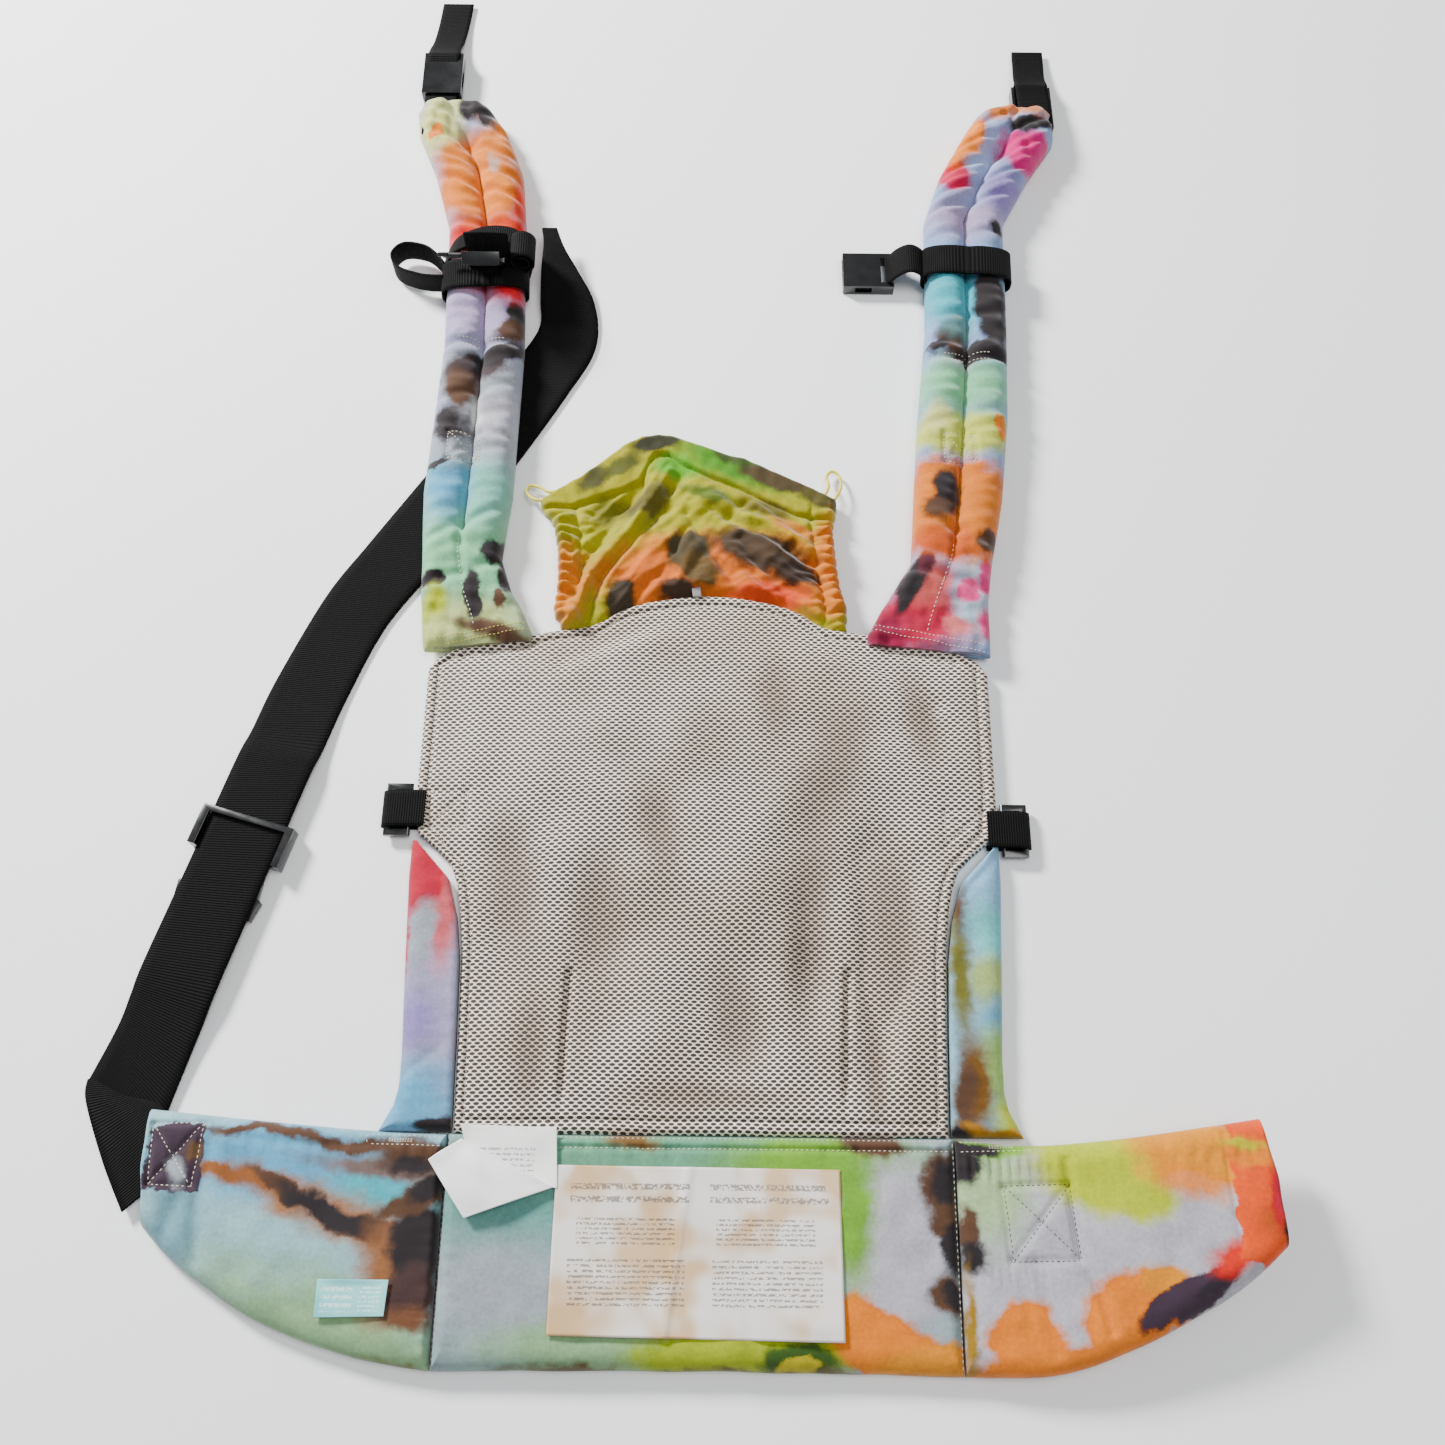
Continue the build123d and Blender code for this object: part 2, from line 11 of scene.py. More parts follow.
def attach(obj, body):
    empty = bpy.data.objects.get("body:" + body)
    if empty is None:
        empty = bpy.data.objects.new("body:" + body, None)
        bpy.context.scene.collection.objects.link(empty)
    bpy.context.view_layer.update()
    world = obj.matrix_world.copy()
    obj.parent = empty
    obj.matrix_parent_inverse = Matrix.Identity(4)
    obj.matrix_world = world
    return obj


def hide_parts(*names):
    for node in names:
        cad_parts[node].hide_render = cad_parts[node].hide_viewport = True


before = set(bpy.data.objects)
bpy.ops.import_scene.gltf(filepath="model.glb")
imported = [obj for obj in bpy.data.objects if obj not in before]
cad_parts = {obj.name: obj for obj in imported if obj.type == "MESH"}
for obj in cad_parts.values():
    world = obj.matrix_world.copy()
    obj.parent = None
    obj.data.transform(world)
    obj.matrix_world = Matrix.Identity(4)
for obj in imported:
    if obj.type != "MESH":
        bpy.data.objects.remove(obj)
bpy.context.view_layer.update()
MM = 0.001
SIDES = {-1: "left", 1: "right"}


# ---- camera ------------------------------------------------------------------------------
def link(name, data):
    made = bpy.data.objects.new(name, data)
    bpy.context.scene.collection.objects.link(made)
    return made


def set_camera():
    data = bpy.data.cameras.new("camera")
    data.sensor_width = 36.0
    data.lens = 35.7
    camera = link("camera", data)
    eye, aim = Vector((10, -32, 880)) * MM, Vector((10, 327, 8)) * MM
    back = (eye - aim).normalized()
    right = Vector((1, 0, 0))
    place = Matrix((right, back.cross(right), back)).transposed().to_4x4()
    place.translation = eye
    camera.matrix_world = place @ Matrix.Rotation(math.radians(0.65), 4, "Z")
    bpy.context.scene.camera = camera


set_camera()


# ---- numbers -----------------------------------------------------------------------------
def mix(a, b, share):
    return a + (b - a) * share


def ease(low, high, value):
    """0 below low, 1 above high, smooth in between."""
    share = min(1.0, max(0.0, (value - low) / (high - low)))
    return share * share * (3 - 2 * share)


def dome(distance, reach):
    """Height of a round edge: 0 at the seam, 1 from reach inwards."""
    if distance >= reach:
        return 1.0
    return math.sqrt(max(0.0, 1 - (1 - max(0.0, distance) / reach) ** 2))


def spline(points, share):
    """A point of the smooth line through points, share from 0 to 1 of their number."""
    last = len(points) - 1
    at = min(last - 1e-6, max(0.0, share * last))
    i, t = int(at), at - int(at)
    ends = [points[max(0, i - 1)], points[i], points[i + 1], points[min(last, i + 2)]]
    p0, p1, p2, p3 = (Vector(p) for p in ends)
    return 0.5 * (2 * p1 + (p2 - p0) * t + (2 * p0 - 5 * p1 + 4 * p2 - p3) * t * t
                  + (3 * p1 - p0 - 3 * p2 + p3) * t ** 3)


def value_on(line, at):
    """The second number of a line's points where the first one is at."""
    if at <= line[0][0]:
        return line[0][1]
    for (a0, b0), (a1, b1) in zip(line, line[1:]):
        if at <= a1:
            return mix(b0, b1, (at - a0) / (a1 - a0))
    return line[-1][1]


def away(x, y, line):
    """Distance of a place from a broken line."""
    best = 1e9
    for (x0, y0), (x1, y1) in zip(line, line[1:]):
        dx, dy = x1 - x0, y1 - y0
        share = ((x - x0) * dx + (y - y0) * dy) / (dx * dx + dy * dy + 1e-9)
        share = min(1.0, max(0.0, share))
        best = min(best, math.hypot(x - x0 - share * dx, y - y0 - share * dy))
    return best


def crease(x, y, line, width, depth):
    """A groove (or a ridge, with a negative depth) along a line."""
    return -depth * math.exp(-(away(x, y, line) / width) ** 2)


def swell(x, y, cx, cy, rx, ry, height):
    return height * math.exp(-((x - cx) / rx) ** 2 - ((y - cy) / ry) ** 2)


def ripple(x, y, size, height, seed=0.0):
    return height * noise.noise(Vector((x / size, y / size, seed)))


def rumple(x, y, heading, long, short, height, seed=0.0):
    """Sharp-backed folds that run along a heading in degrees."""
    c, s = math.cos(math.radians(heading)), math.sin(math.radians(heading))
    place = Vector(((x * c + y * s) / long, (y * c - x * s) / short, seed))
    return height * (1 - 3.2 * abs(noise.noise(place)))


# ---- finishes ----------------------------------------------------------------------------
def srgb(red, green, blue):
    """A colour named in 0 to 255, as the shader wants it."""
    def linear(value):
        value /= 255
        return value / 12.92 if value <= 0.04045 else ((value + 0.055) / 1.055) ** 2.4
    return (linear(red), linear(green), linear(blue), 1.0)


class Wire:
    """A socket; sums with it add Math nodes."""

    def __init__(self, finish, socket):
        self.finish, self.socket = finish, socket

    def math(self, operation, first, *others):
        sockets = dict(enumerate((first,) + others))
        return self.finish.node("ShaderNodeMath", {"operation": operation}, sockets)

    def __add__(self, other):
        return self.math("ADD", self, other)

    def __sub__(self, other):
        return self.math("SUBTRACT", self, other)

    def __rsub__(self, other):
        return self.math("SUBTRACT", other, self)

    def __mul__(self, other):
        return self.math("MULTIPLY", self, other)

    def __truediv__(self, other):
        return self.math("DIVIDE", self, other)

    def __pow__(self, other):
        return self.math("POWER", self, other)

    def __abs__(self):
        return self.math("ABSOLUTE", self)

    def whole(self):
        return self.math("FLOOR", self)

    def part(self):
        return self.math("FRACT", self)

    def sine(self):
        return self.math("SINE", self)

    def most(self, other):
        return self.math("MAXIMUM", self, other)

    def step(self, low, high):
        """0 where the wire is below low, 1 above high; low may be the larger one."""
        return self.finish.node(
            "ShaderNodeMapRange", {"interpolation_type": "SMOOTHSTEP"},
            {0: self, 1: low, 2: high, 3: 0.0, 4: 1.0})

    __radd__ = __add__
    __rmul__ = __mul__


class Finish:
    """A material and the nodes behind it."""

    def __init__(self, name, constants):
        self.material = bpy.data.materials.new(name)
        self.material.use_nodes = True
        self.tree = self.material.node_tree
        self.shader = self.tree.nodes["Principled BSDF"]
        for socket, value in constants.items():
            self.shader.inputs[socket].default_value = value

    def node(self, kind, settings=None, sockets=None, out=0):
        made = self.tree.nodes.new(kind)
        for key, value in (settings or {}).items():
            setattr(made, key, value)
        for key, value in (sockets or {}).items():
            self.feed(made.inputs[key], value)
        return Wire(self, made.outputs[out])

    def feed(self, socket, value):
        if isinstance(value, Wire):
            self.tree.links.new(value.socket, socket)
        else:
            socket.default_value = value

    def into(self, name, value):
        self.feed(self.shader.inputs[name], value)

    def place(self, output="Object"):
        return self.node("ShaderNodeTexCoord", out=output)

    def axes(self, vector):
        made = self.tree.nodes.new("ShaderNodeSeparateXYZ")
        self.feed(made.inputs[0], vector)
        return [Wire(self, made.outputs[i]) for i in range(3)]

    def clouds(self, vector, scale, detail=2.0, out=0):
        return self.node("ShaderNodeTexNoise", None,
                         {"Vector": vector, "Scale": scale, "Detail": detail}, out)

    def shift(self, vector, size, scale, detail=2.0):
        """The vector moved about by soft noise of the given size, within the sheet."""
        drift = self.clouds(vector, scale, detail, out=1)
        centred = self.node("ShaderNodeVectorMath", {"operation": "SUBTRACT"},
                            {0: drift, 1: (0.5, 0.5, 0.5)})
        return self.node("ShaderNodeVectorMath", {"operation": "MULTIPLY_ADD"},
                         {0: centred, 1: (size, size, 0.0), 2: vector})

    def far_from(self, vector, x, y, rx, ry, turn, square=False):
        """Distance from an oval or square patch: 0 at its middle, 1 at its edge."""
        local = self.node("ShaderNodeMapping", {"vector_type": "TEXTURE"},
                          {0: vector, 1: (x * MM, y * MM, 0.0),
                           2: (0.0, 0.0, math.radians(turn)), 3: (rx * MM, ry * MM, 1.0)})
        if square:
            across, along, _ = self.axes(local)
            return abs(across).most(abs(along))
        return self.node("ShaderNodeVectorMath", {"operation": "LENGTH"}, {0: local}, out=1)

    def blend(self, mask, under, over, mode="MIX"):
        return self.node("ShaderNodeMix", {"data_type": "RGBA", "blend_type": mode},
                         {0: mask, 6: under, 7: over}, out=2)

    def relief(self, height, distance, strength=1.0, under=None):
        sockets = {"Height": height, "Distance": distance, "Strength": strength}
        if under is not None:
            sockets["Normal"] = under
        return self.node("ShaderNodeBump", None, sockets)


SEA, SKY, MIST = srgb(98, 178, 190), srgb(116, 170, 200), srgb(158, 192, 198)
TEAL, SAGE, MINT = srgb(112, 158, 150), srgb(146, 178, 138), srgb(140, 196, 156)
LIME, OLIVE, LEAF = srgb(186, 196, 84), srgb(112, 110, 56), srgb(128, 172, 84)
YELLOW, STRAW = srgb(196, 182, 48), srgb(206, 206, 140)
ORANGE, AMBER, PEACH = srgb(236, 128, 30), srgb(232, 150, 60), srgb(236, 160, 118)
RED, CORAL, CRIMSON = srgb(226, 70, 52), srgb(228, 98, 92), srgb(186, 50, 68)
PINK, LILAC = srgb(226, 112, 150), srgb(176, 160, 190)
VIOLET, PEARL = srgb(148, 136, 184), srgb(186, 184, 192)
STONE, PALE = srgb(160, 166, 172), srgb(204, 206, 204)
RUST, BARK, SOOT = srgb(142, 94, 66), srgb(84, 60, 46), srgb(33, 26, 29)
PLUM = srgb(58, 42, 56)


def dyed_cloth(name, base, blots, richness=1.2):
    """Cotton twill with soft blots of dye (and on the hood also of painted shadow): x, y, half
    width, half height, turn in degrees, colour, softness of the edge. A blot with an eighth item
    has square corners."""
    finish = Finish(name, {"Roughness": 0.86, "Sheen Weight": 0.22, "Sheen Roughness": 0.45,
                           "Specular IOR Level": 0.28})
    place = finish.place()
    soaked = finish.shift(finish.shift(place, 0.020, 26.0, 3.0), 0.008, 130.0, 4.0)
    soaked = finish.shift(soaked, 0.0022, 700.0, 2.0)
    fringe = finish.clouds(place, 85.0, 4.0) - 0.5
    colour = base
    for x, y, rx, ry, turn, blot_colour, soft, *square in blots:
        reach = finish.far_from(soaked, x, y, rx, ry, turn, square) + fringe * 0.42
        edge = soft * (0.75 if soft > 0.65 else 0.6)
        colour = finish.blend(reach.step(1 + edge, 1 - edge), colour, blot_colour)
    colour = finish.node("ShaderNodeHueSaturation", None,
                         {"Saturation": richness, "Value": 0.97, "Color": colour})
    grain = finish.clouds(place, 420.0, 3.0)
    washed = finish.clouds(place, 60.0, 2.0)
    shade = grain * 0.40 + washed * 0.36 + 0.36
    toned = finish.node("ShaderNodeCombineColor", None, {0: shade, 1: shade, 2: shade})
    colour = finish.blend(1.0, colour, toned, "MULTIPLY")
    finish.into("Base Color", colour)
    x, y, _ = finish.axes(place)
    twill = ((x + y) * 7000.0).sine() * ((x - y) * 5200.0).sine()
    finish.into("Normal", finish.relief(twill * 0.25 + grain, 0.0003, 0.5))
    finish.into("Roughness", grain * 0.2 + 0.74)
    return finish.material


HOLE_PITCH = (5.1, 2.05)
# Patches of painted shade on the lining: x, y, half width, half height, turn in degrees.
PAINTED_SHADE_PATCHES = [(118, 196, 24, 62, 8), (66, 196, 16, 70, -6), (-66, 196, 20, 46, 0),
           (20, 132, 18, 40, 10), (-120, 214, 20, 60, 10), (84, 300, 22, 50, -20),
           (44, 340, 14, 30, 0), (-30, 250, 14, 36, 14), (104, 96, 8, 34, 0),
           (-104, 110, 12, 40, 0), (0, 86, 60, 10, 0), (140, 330, 14, 40, 10)]


def spacer_mesh():
    """Cream three-layer mesh: staggered rows of dark oval holes between raised threads; the holes'
    dark is partly the darker layer behind them and partly painted shade inside them.
    """
    finish = Finish("spacer mesh", {"Roughness": 0.7, "Sheen Weight": 0.15})
    place = finish.place()
    moved = finish.shift(place, 0.006, 9.0, 1.0)
    x, y, _ = finish.axes(moved)
    row = y / (HOLE_PITCH[1] * MM)
    stagger = (row.whole() * 0.5).part()
    across = ((x / (HOLE_PITCH[0] * MM) + stagger).part() - 0.5) * HOLE_PITCH[0]
    along = (row.part() - 0.5) * HOLE_PITCH[1]
    hole = (across / 1.75) ** 2.0 + (along / 0.92) ** 2.0
    depth = hole.step(1.35, 0.75)
    thread = finish.clouds(place, 900.0, 2.0)
    tone = finish.clouds(place, 11.0, 2.0)
    cloth = finish.blend(tone.step(0.35, 0.65), srgb(222, 204, 182), srgb(244, 231, 214))
    # painted shade: the lining's colour goes towards a brown in each patch
    for shade_patch in PAINTED_SHADE_PATCHES:
        far = finish.far_from(place, *shade_patch)
        cloth = finish.blend(far.step(1.3, 0.2) * 0.75, cloth, srgb(166, 140, 116))
    cloth = finish.blend(thread * 0.2, cloth, srgb(170, 148, 128))
    # hole colour: partly the darker layer behind the holes, partly painted shade inside them
    finish.into("Base Color", finish.blend(depth, cloth, srgb(40, 28, 24)))
    finish.into("Normal", finish.relief(1 - depth + thread * 0.3, 0.0008, 0.7))
    return finish.material


def webbing_cloth():
    """Black nylon webbing: ribs across it every 1.6 mm."""
    finish = Finish("black webbing", {"Specular IOR Level": 0.12})
    place = finish.place("UV")
    across, along, _ = finish.axes(place)
    rib = (along * (2 * math.pi / 0.0016)).sine() * 0.5 + 0.5
    yarn = (across * (2 * math.pi / 0.0011)).sine() * 0.5 + 0.5
    fuzz = finish.clouds(finish.place(), 500.0, 2.0)
    # painted highlight: the colour is lighter on the crests of the ribs and yarns, plus random fuzz
    lit = rib * 0.6 + yarn * 0.25 + fuzz * 0.3
    finish.into("Base Color", finish.blend(lit, srgb(2, 2, 2), srgb(14, 13, 12)))
    finish.into("Normal", finish.relief(rib + yarn * 0.4, 0.0005, 0.8))
    finish.into("Roughness", fuzz * 0.2 + 0.66)
    return finish.material


def moulded_plastic():
    """Glossy black acetal with a faint mould texture and duller worn spots."""
    finish = Finish("black plastic", {"Specular IOR Level": 0.6, "Coat Weight": 0.25,
                                      "Coat Roughness": 0.12})
    place = finish.place()
    skin = finish.clouds(place, 1400.0, 2.0)
    worn = finish.clouds(place, 90.0, 3.0)
    finish.into("Base Color", finish.blend(worn, srgb(2, 2, 3), srgb(9, 9, 10)))
    finish.into("Roughness", worn * 0.25 + 0.16)
    finish.into("Normal", finish.relief(skin, 0.0001, 0.25))
    return finish.material


def thread(name, colour):
    finish = Finish(name, {"Roughness": 0.6, "Sheen Weight": 0.2})
    fibre = finish.clouds(finish.place(), 1600.0, 1.0)
    dull = tuple(c * 0.62 for c in colour[:3]) + (1.0,)
    finish.into("Base Color", finish.blend(fibre, dull, colour))
    finish.into("Normal", finish.relief(fibre, 0.0003, 0.6))
    return finish.material


def satin_label(name, low, high, ink, rules):
    """Shiny printed satin with its sheen streaks painted into the colour, from low to the lighter
    high; its print is only faint rules, given as first y, last y, step, x from and x to."""
    finish = Finish(name, {"Specular IOR Level": 0.6, "Sheen Weight": 0.3})
    place = finish.place()
    sheen = finish.clouds(finish.shift(place, 0.03, 14.0), 34.0, 1.0)
    # painted sheen: the colour goes from low to the lighter high along the sheen streaks
    colour = finish.blend(sheen.step(0.38, 0.62), low, high)
    x, y, _ = finish.axes(finish.shift(place, 0.0006, 200.0))
    printed = 0.0
    for top, bottom, step, left, right in rules:
        wide, tall = (right - left) / 2 * MM, (top - bottom) / 2 * MM
        inside = abs(x - (left + right) / 2 * MM).step(wide + 0.0004, wide)
        span = abs(y - (top + bottom) / 2 * MM).step(tall + 0.0004, tall)
        line = abs(((y - top * MM) / (step * MM)).part() - 0.5).step(0.30, 0.18)
        printed = line * inside * span + printed
    ragged = finish.clouds(place, 700.0, 1.0).step(0.42, 0.52)
    mark = printed * ragged * 0.75
    finish.into("Base Color", finish.blend(mark, colour, ink))
    finish.into("Roughness", sheen * 0.35 + 0.2)
    finish.into("Normal", finish.relief(sheen, 0.0025, 0.6))
    return finish.material


WEBBING, PLASTIC, MESH = webbing_cloth(), moulded_plastic(), spacer_mesh()
CREAM_THREAD = thread("cream thread", srgb(226, 216, 190))
YELLOW_THREAD = thread("yellow thread", srgb(216, 204, 84))
DARK_THREAD = thread("dark thread", srgb(52, 40, 36))
YELLOW_ELASTIC = thread("yellow elastic", srgb(232, 212, 40))


# ---- making pieces -----------------------------------------------------------------------
STRAP_BODIES = ("left_strap", "right_strap", "left_chest_band", "right_chest_band", "chest_plug",
                "chest_plug_upper_latch", "chest_plug_lower_latch", "chest_socket",
                "left_shoulder_buckle", "right_shoulder_buckle")


def quilt(across, along):
    """A closed block of small faces: x and y run from 0 to 1, z is 0 underneath and 1 on top."""
    bm = bmesh.new()
    bmesh.ops.create_grid(bm, x_segments=across, y_segments=along, size=0.5)
    bmesh.ops.translate(bm, vec=(0.5, 0.5, 0), verts=bm.verts)
    grown = bmesh.ops.extrude_face_region(bm, geom=bm.faces[:] + bm.edges[:] + bm.verts[:],
                                          use_keep_orig=True)
    raised = [item for item in grown["geom"] if isinstance(item, bmesh.types.BMVert)]
    bmesh.ops.translate(bm, vec=(0, 0, 1), verts=raised)
    return bm


def sheet_of(across, along):
    """One layer of small faces, x and y from 0 to 1."""
    bm = bmesh.new()
    bmesh.ops.create_grid(bm, x_segments=across, y_segments=along, size=0.5)
    bmesh.ops.translate(bm, vec=(0.5, 0.5, 0), verts=bm.verts)
    return bm


def mapped(bm, width, length):
    """A UV map for a sheet of the given size in metres."""
    uv = bm.loops.layers.uv.new("along")
    for face in bm.faces:
        for loop in face.loops:
            loop[uv].uv = (loop.vert.co.x * width, loop.vert.co.y * length)
    return bm


def shaped(bm, form):
    for corner in bm.verts:
        corner.co = Vector(form(*corner.co))
    bmesh.ops.recalc_face_normals(bm, faces=bm.faces)
    return bm


PANEL_FOOT, PANEL_HEAD, STRAP_LEAN = 64.3, 366.0, 0.0113


def askew(x, y):
    """The straps lie turned a little about their seams with the panel."""
    return x - STRAP_LEAN * (y - PANEL_HEAD)


def put(name, bm, finish, body, turned=False):
    if body in STRAP_BODIES and not turned:
        for corner in bm.verts:
            corner.co.x = askew(corner.co.x, corner.co.y)
    bmesh.ops.scale(bm, vec=(MM, MM, MM), verts=bm.verts)
    mesh = bpy.data.meshes.new(name)
    bm.to_mesh(mesh)
    bm.free()
    mesh.shade_smooth()
    made = link(name, mesh)
    mesh.materials.append(finish)
    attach(made, body)
    return made


def thick(piece, wall, offset=0.0):
    solid = piece.modifiers.new("cloth thickness", "SOLIDIFY")
    solid.thickness = wall * MM
    solid.offset = offset
    return piece


def bunched(share):
    """Spacing that is closer at both ends."""
    return mix(share, 0.5 - 0.5 * math.cos(math.pi * share), 0.75)


def tilted(point, angle, x=149.0, z=4.0):
    """A point of the right wing turned up about its seam."""
    turn = math.radians(angle)
    dx, dz = point[0] - x, point[2] - z
    return (x + dx * math.cos(turn) - dz * math.sin(turn), point[1],
            z + dx * math.sin(turn) + dz * math.cos(turn))


def surface_of(piece):
    """The finished top of a piece, to lay stitches on, in millimetres."""
    bm = bmesh.new()
    bm.from_mesh(piece.data)
    bmesh.ops.scale(bm, vec=(1 / MM,) * 3, verts=bm.verts)
    tree = BVHTree.FromBMesh(bm)
    bm.free()
    return tree


def sew(name, cloth, lines, yarn, body, pitch=3.3, length=2.5, width=0.8):
    """Rows of short stitches lying on a piece of cloth."""
    tree = surface_of(cloth)
    bm = bmesh.new()
    for line in lines:
        if body in STRAP_BODIES:
            line = [(askew(x, y), y) for x, y in line]
        spare = pitch / 2
        for start, end in zip(line, line[1:]):
            run = Vector(end) - Vector(start)
            heading = run.normalized()
            while spare < run.length:
                x, y = Vector(start) + heading * spare
                hit, normal, _, _ = tree.ray_cast(Vector((x, y, 90)), Vector((0, 0, -1)))
                spare += pitch
                if hit is None:
                    continue
                ahead = Vector((heading.x, heading.y, 0))
                ahead = (ahead - normal * ahead.dot(normal)).normalized()
                side = normal.cross(ahead)
                turn = Matrix((ahead * length / 2, side * width / 2, normal * width * 0.5))
                place = turn.transposed().to_4x4()
                place.translation = hit + normal * width * 0.12
                bmesh.ops.create_icosphere(bm, subdivisions=1, radius=1.0, matrix=place)
            spare -= run.length
    return put(name, bm, yarn, body, turned=True)


def box_stitch(corners):
    a, b, c, d = corners
    return [[a, b, c, d, a], [a, c], [b, d]]


def ribbon(name, left, right, finish, body, wall=1.6, segments=120, bulge=None):
    """Webbing between two edges, each a list of points; its UV map is in metres."""
    bm = sheet_of(8, segments)
    uv = bm.loops.layers.uv.new("along")
    width = (Vector(left[0]) - Vector(right[0])).length * MM
    centre = [(Vector(a) + Vector(b)) / 2 for a, b in zip(left, right)]
    steps = [spline(centre, i / 200) for i in range(201)]
    lengths = [0.0]
    for a, b in zip(steps, steps[1:]):
        lengths.append(lengths[-1] + (b - a).length)
    for face in bm.faces:
        for loop in face.loops:
            across, along, _ = loop.vert.co
            at = min(199.999, along * 200)
            reached = mix(lengths[int(at)], lengths[int(at) + 1], at - int(at))
            loop[uv].uv = (across * width, reached * MM)

    def form(across, along, _):
        point = spline(left, along).lerp(spline(right, along), across)
        if bulge:
            point.z += bulge(across, along)
        return point
    return thick(put(name, shaped(bm, form), finish, body), wall)


def moulded(node, body, edge=0.7, slim=None, lean=None):
    """A buckle part with its edges rounded as they come out of the mould; slim gives the middle
    and the width left over across its bar, lean turns it about its lower edge in degrees."""
    bm = bmesh.new()
    bm.from_mesh(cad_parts[node].data)
    bmesh.ops.remove_doubles(bm, verts=bm.verts, dist=0.00001)
    bmesh.ops.dissolve_limit(bm, angle_limit=math.radians(2), verts=bm.verts, edges=bm.edges)
    for corner in bm.verts:
        if slim:
            axis, middle, kept = slim
            corner.co[axis] = middle * MM + (corner.co[axis] - middle * MM) * kept
        if body in STRAP_BODIES:
            corner.co.x = askew(corner.co.x / MM, corner.co.y / MM) * MM
    if lean:
        angle, y, z = lean
        bmesh.ops.rotate(bm, verts=bm.verts, cent=(0, y * MM, z * MM),
                         matrix=Matrix.Rotation(math.radians(angle), 3, "X"))
    mesh = bpy.data.meshes.new(node + "_moulded")
    bm.to_mesh(mesh)
    bm.free()
    made = link(node + "_moulded", mesh)
    mesh.materials.append(PLASTIC)
    rounding = made.modifiers.new("mould radius", "BEVEL")
    rounding.width = edge * MM
    rounding.segments = 3
    rounding.limit_method = "ANGLE"
    rounding.angle_limit = math.radians(40)
    mesh.shade_smooth()
    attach(made, body)
    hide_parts(node)
    return made


# ---- waistband ---------------------------------------------------------------------------
SEAM_X, BAND_HALF, SEAM_Z, PAD_TOP = 149.0, 64.0, 4.6, 14.0
WING_FOOT = {-1: [(149.3, -64), (195, -57), (248, -39.5), (297, -11), (319, 9)],
             1: [(149.3, -64), (203, -62), (256, -43), (306, -16), (331, 5)]}
WING_HEAD = {-1: [(149.3, 63.7), (192, 65), (241, 68.5), (287, 72.5), (325, 76)],
             1: [(149.3, 63.7), (192, 60), (241, 63.5), (287, 69.5), (324, 75)]}
WING_TURN = 7.0

WAIST_DYE = [
    (-95, 15, 75, 60, 0, TEAL, 0.8), (-112, -22, 50, 28, 0, STONE, 0.8),
    (-10, 50, 100, 22, 0, srgb(112, 160, 132), 0.6), (72, 48, 56, 18, 0, LEAF, 0.7),
    (-60, -52, 60, 16, 0, SAGE, 0.7), (25, -54, 62, 16, 0, srgb(164, 178, 44), 0.5),
    (57, -58, 22, 10, 0, srgb(58, 84, 36), 0.5), (57, -60, 13, 3.5, 0, YELLOW, 0.4),
    (112, 5, 34, 46, 0, PEARL, 0.5), (88, 20, 12, 40, 0, LEAF, 0.8),
    (102, -46, 34, 17, -22, ORANGE, 0.4), (132, -60, 34, 13, 0, AMBER, 0.5),
    (141, 38, 12, 20, 0, BARK, 0.5), (142, 40, 8, 13, 0, SOOT, 0.5),
    (143, 16, 10, 10, 20, BARK, 0.5), (146, 0, 8, 16, 0, SOOT, 0.5),
    (141, -24, 9, 9, 0, BARK, 0.6), (143, -24, 5, 6, 0, SOOT, 0.6),
    (100, 58, 18, 6, 0, BARK, 0.6), (-40, 60, 16, 5, 0, srgb(120, 92, 60), 0.7),
    (0, -66, 170, 4, 0, srgb(92, 78, 44), 0.9)]

LEFT_WING_DYE = [
    (-195, -52, 100, 30, -18, SAGE, 0.8), (-240, 48, 80, 20, 0, SKY, 0.8),
    (-188, 33, 26, 13, 0, SEA, 0.7), (-300, 14, 16, 24, 0, srgb(120, 156, 166), 0.7),
    (-277, 40, 24, 4.5, 0, RUST, 0.8), (-250, 36, 20, 7, -18, RUST, 0.8),
    (-236, 27, 14, 9, 0, srgb(158, 116, 88), 0.9), (-200, 14, 42, 13, -22, srgb(150, 112, 90), 0.8),
    (-240, 33, 22, 4.5, -28, BARK, 0.5), (-215, 20, 30, 5.5, -27, SOOT, 0.6),
    (-185, 9, 30, 7, -10, SOOT, 0.5), (-176, -12, 16, 26, 0, srgb(146, 104, 78), 0.8),
    (-160, 0, 17, 26, 0, SOOT, 0.4), (-160, -24, 15, 16, 0, srgb(62, 44, 42), 0.5),
    (-166, 24, 26, 5, 20, BARK, 0.6), (-184, 44, 44, 6, -6, srgb(112, 96, 92), 0.8),
    (-160, -36, 14, 6, 0, srgb(112, 78, 60), 0.8), (-160, 30, 20, 8, 32, BARK, 0.6),
    (-156, 34, 14, 6, 34, SOOT, 0.6), (-250, 62, 50, 3.2, -4, BARK, 0.7),
    (-195, 57, 42, 5, -3, BARK, 0.7), (-165, 50, 22, 9, 0, BARK, 0.6),
    (-168, 46, 14, 5, 0, SOOT, 0.7), (-306, 48, 17, 19, 0, PLUM, 0.08, 1),
    (-296, 50, 7, 6, 40, srgb(96, 72, 52), 0.8), (-306, 38, 5, 8, 30, STONE, 0.8),
    (-150, -64, 30, 3.5, -10, OLIVE, 0.9)]

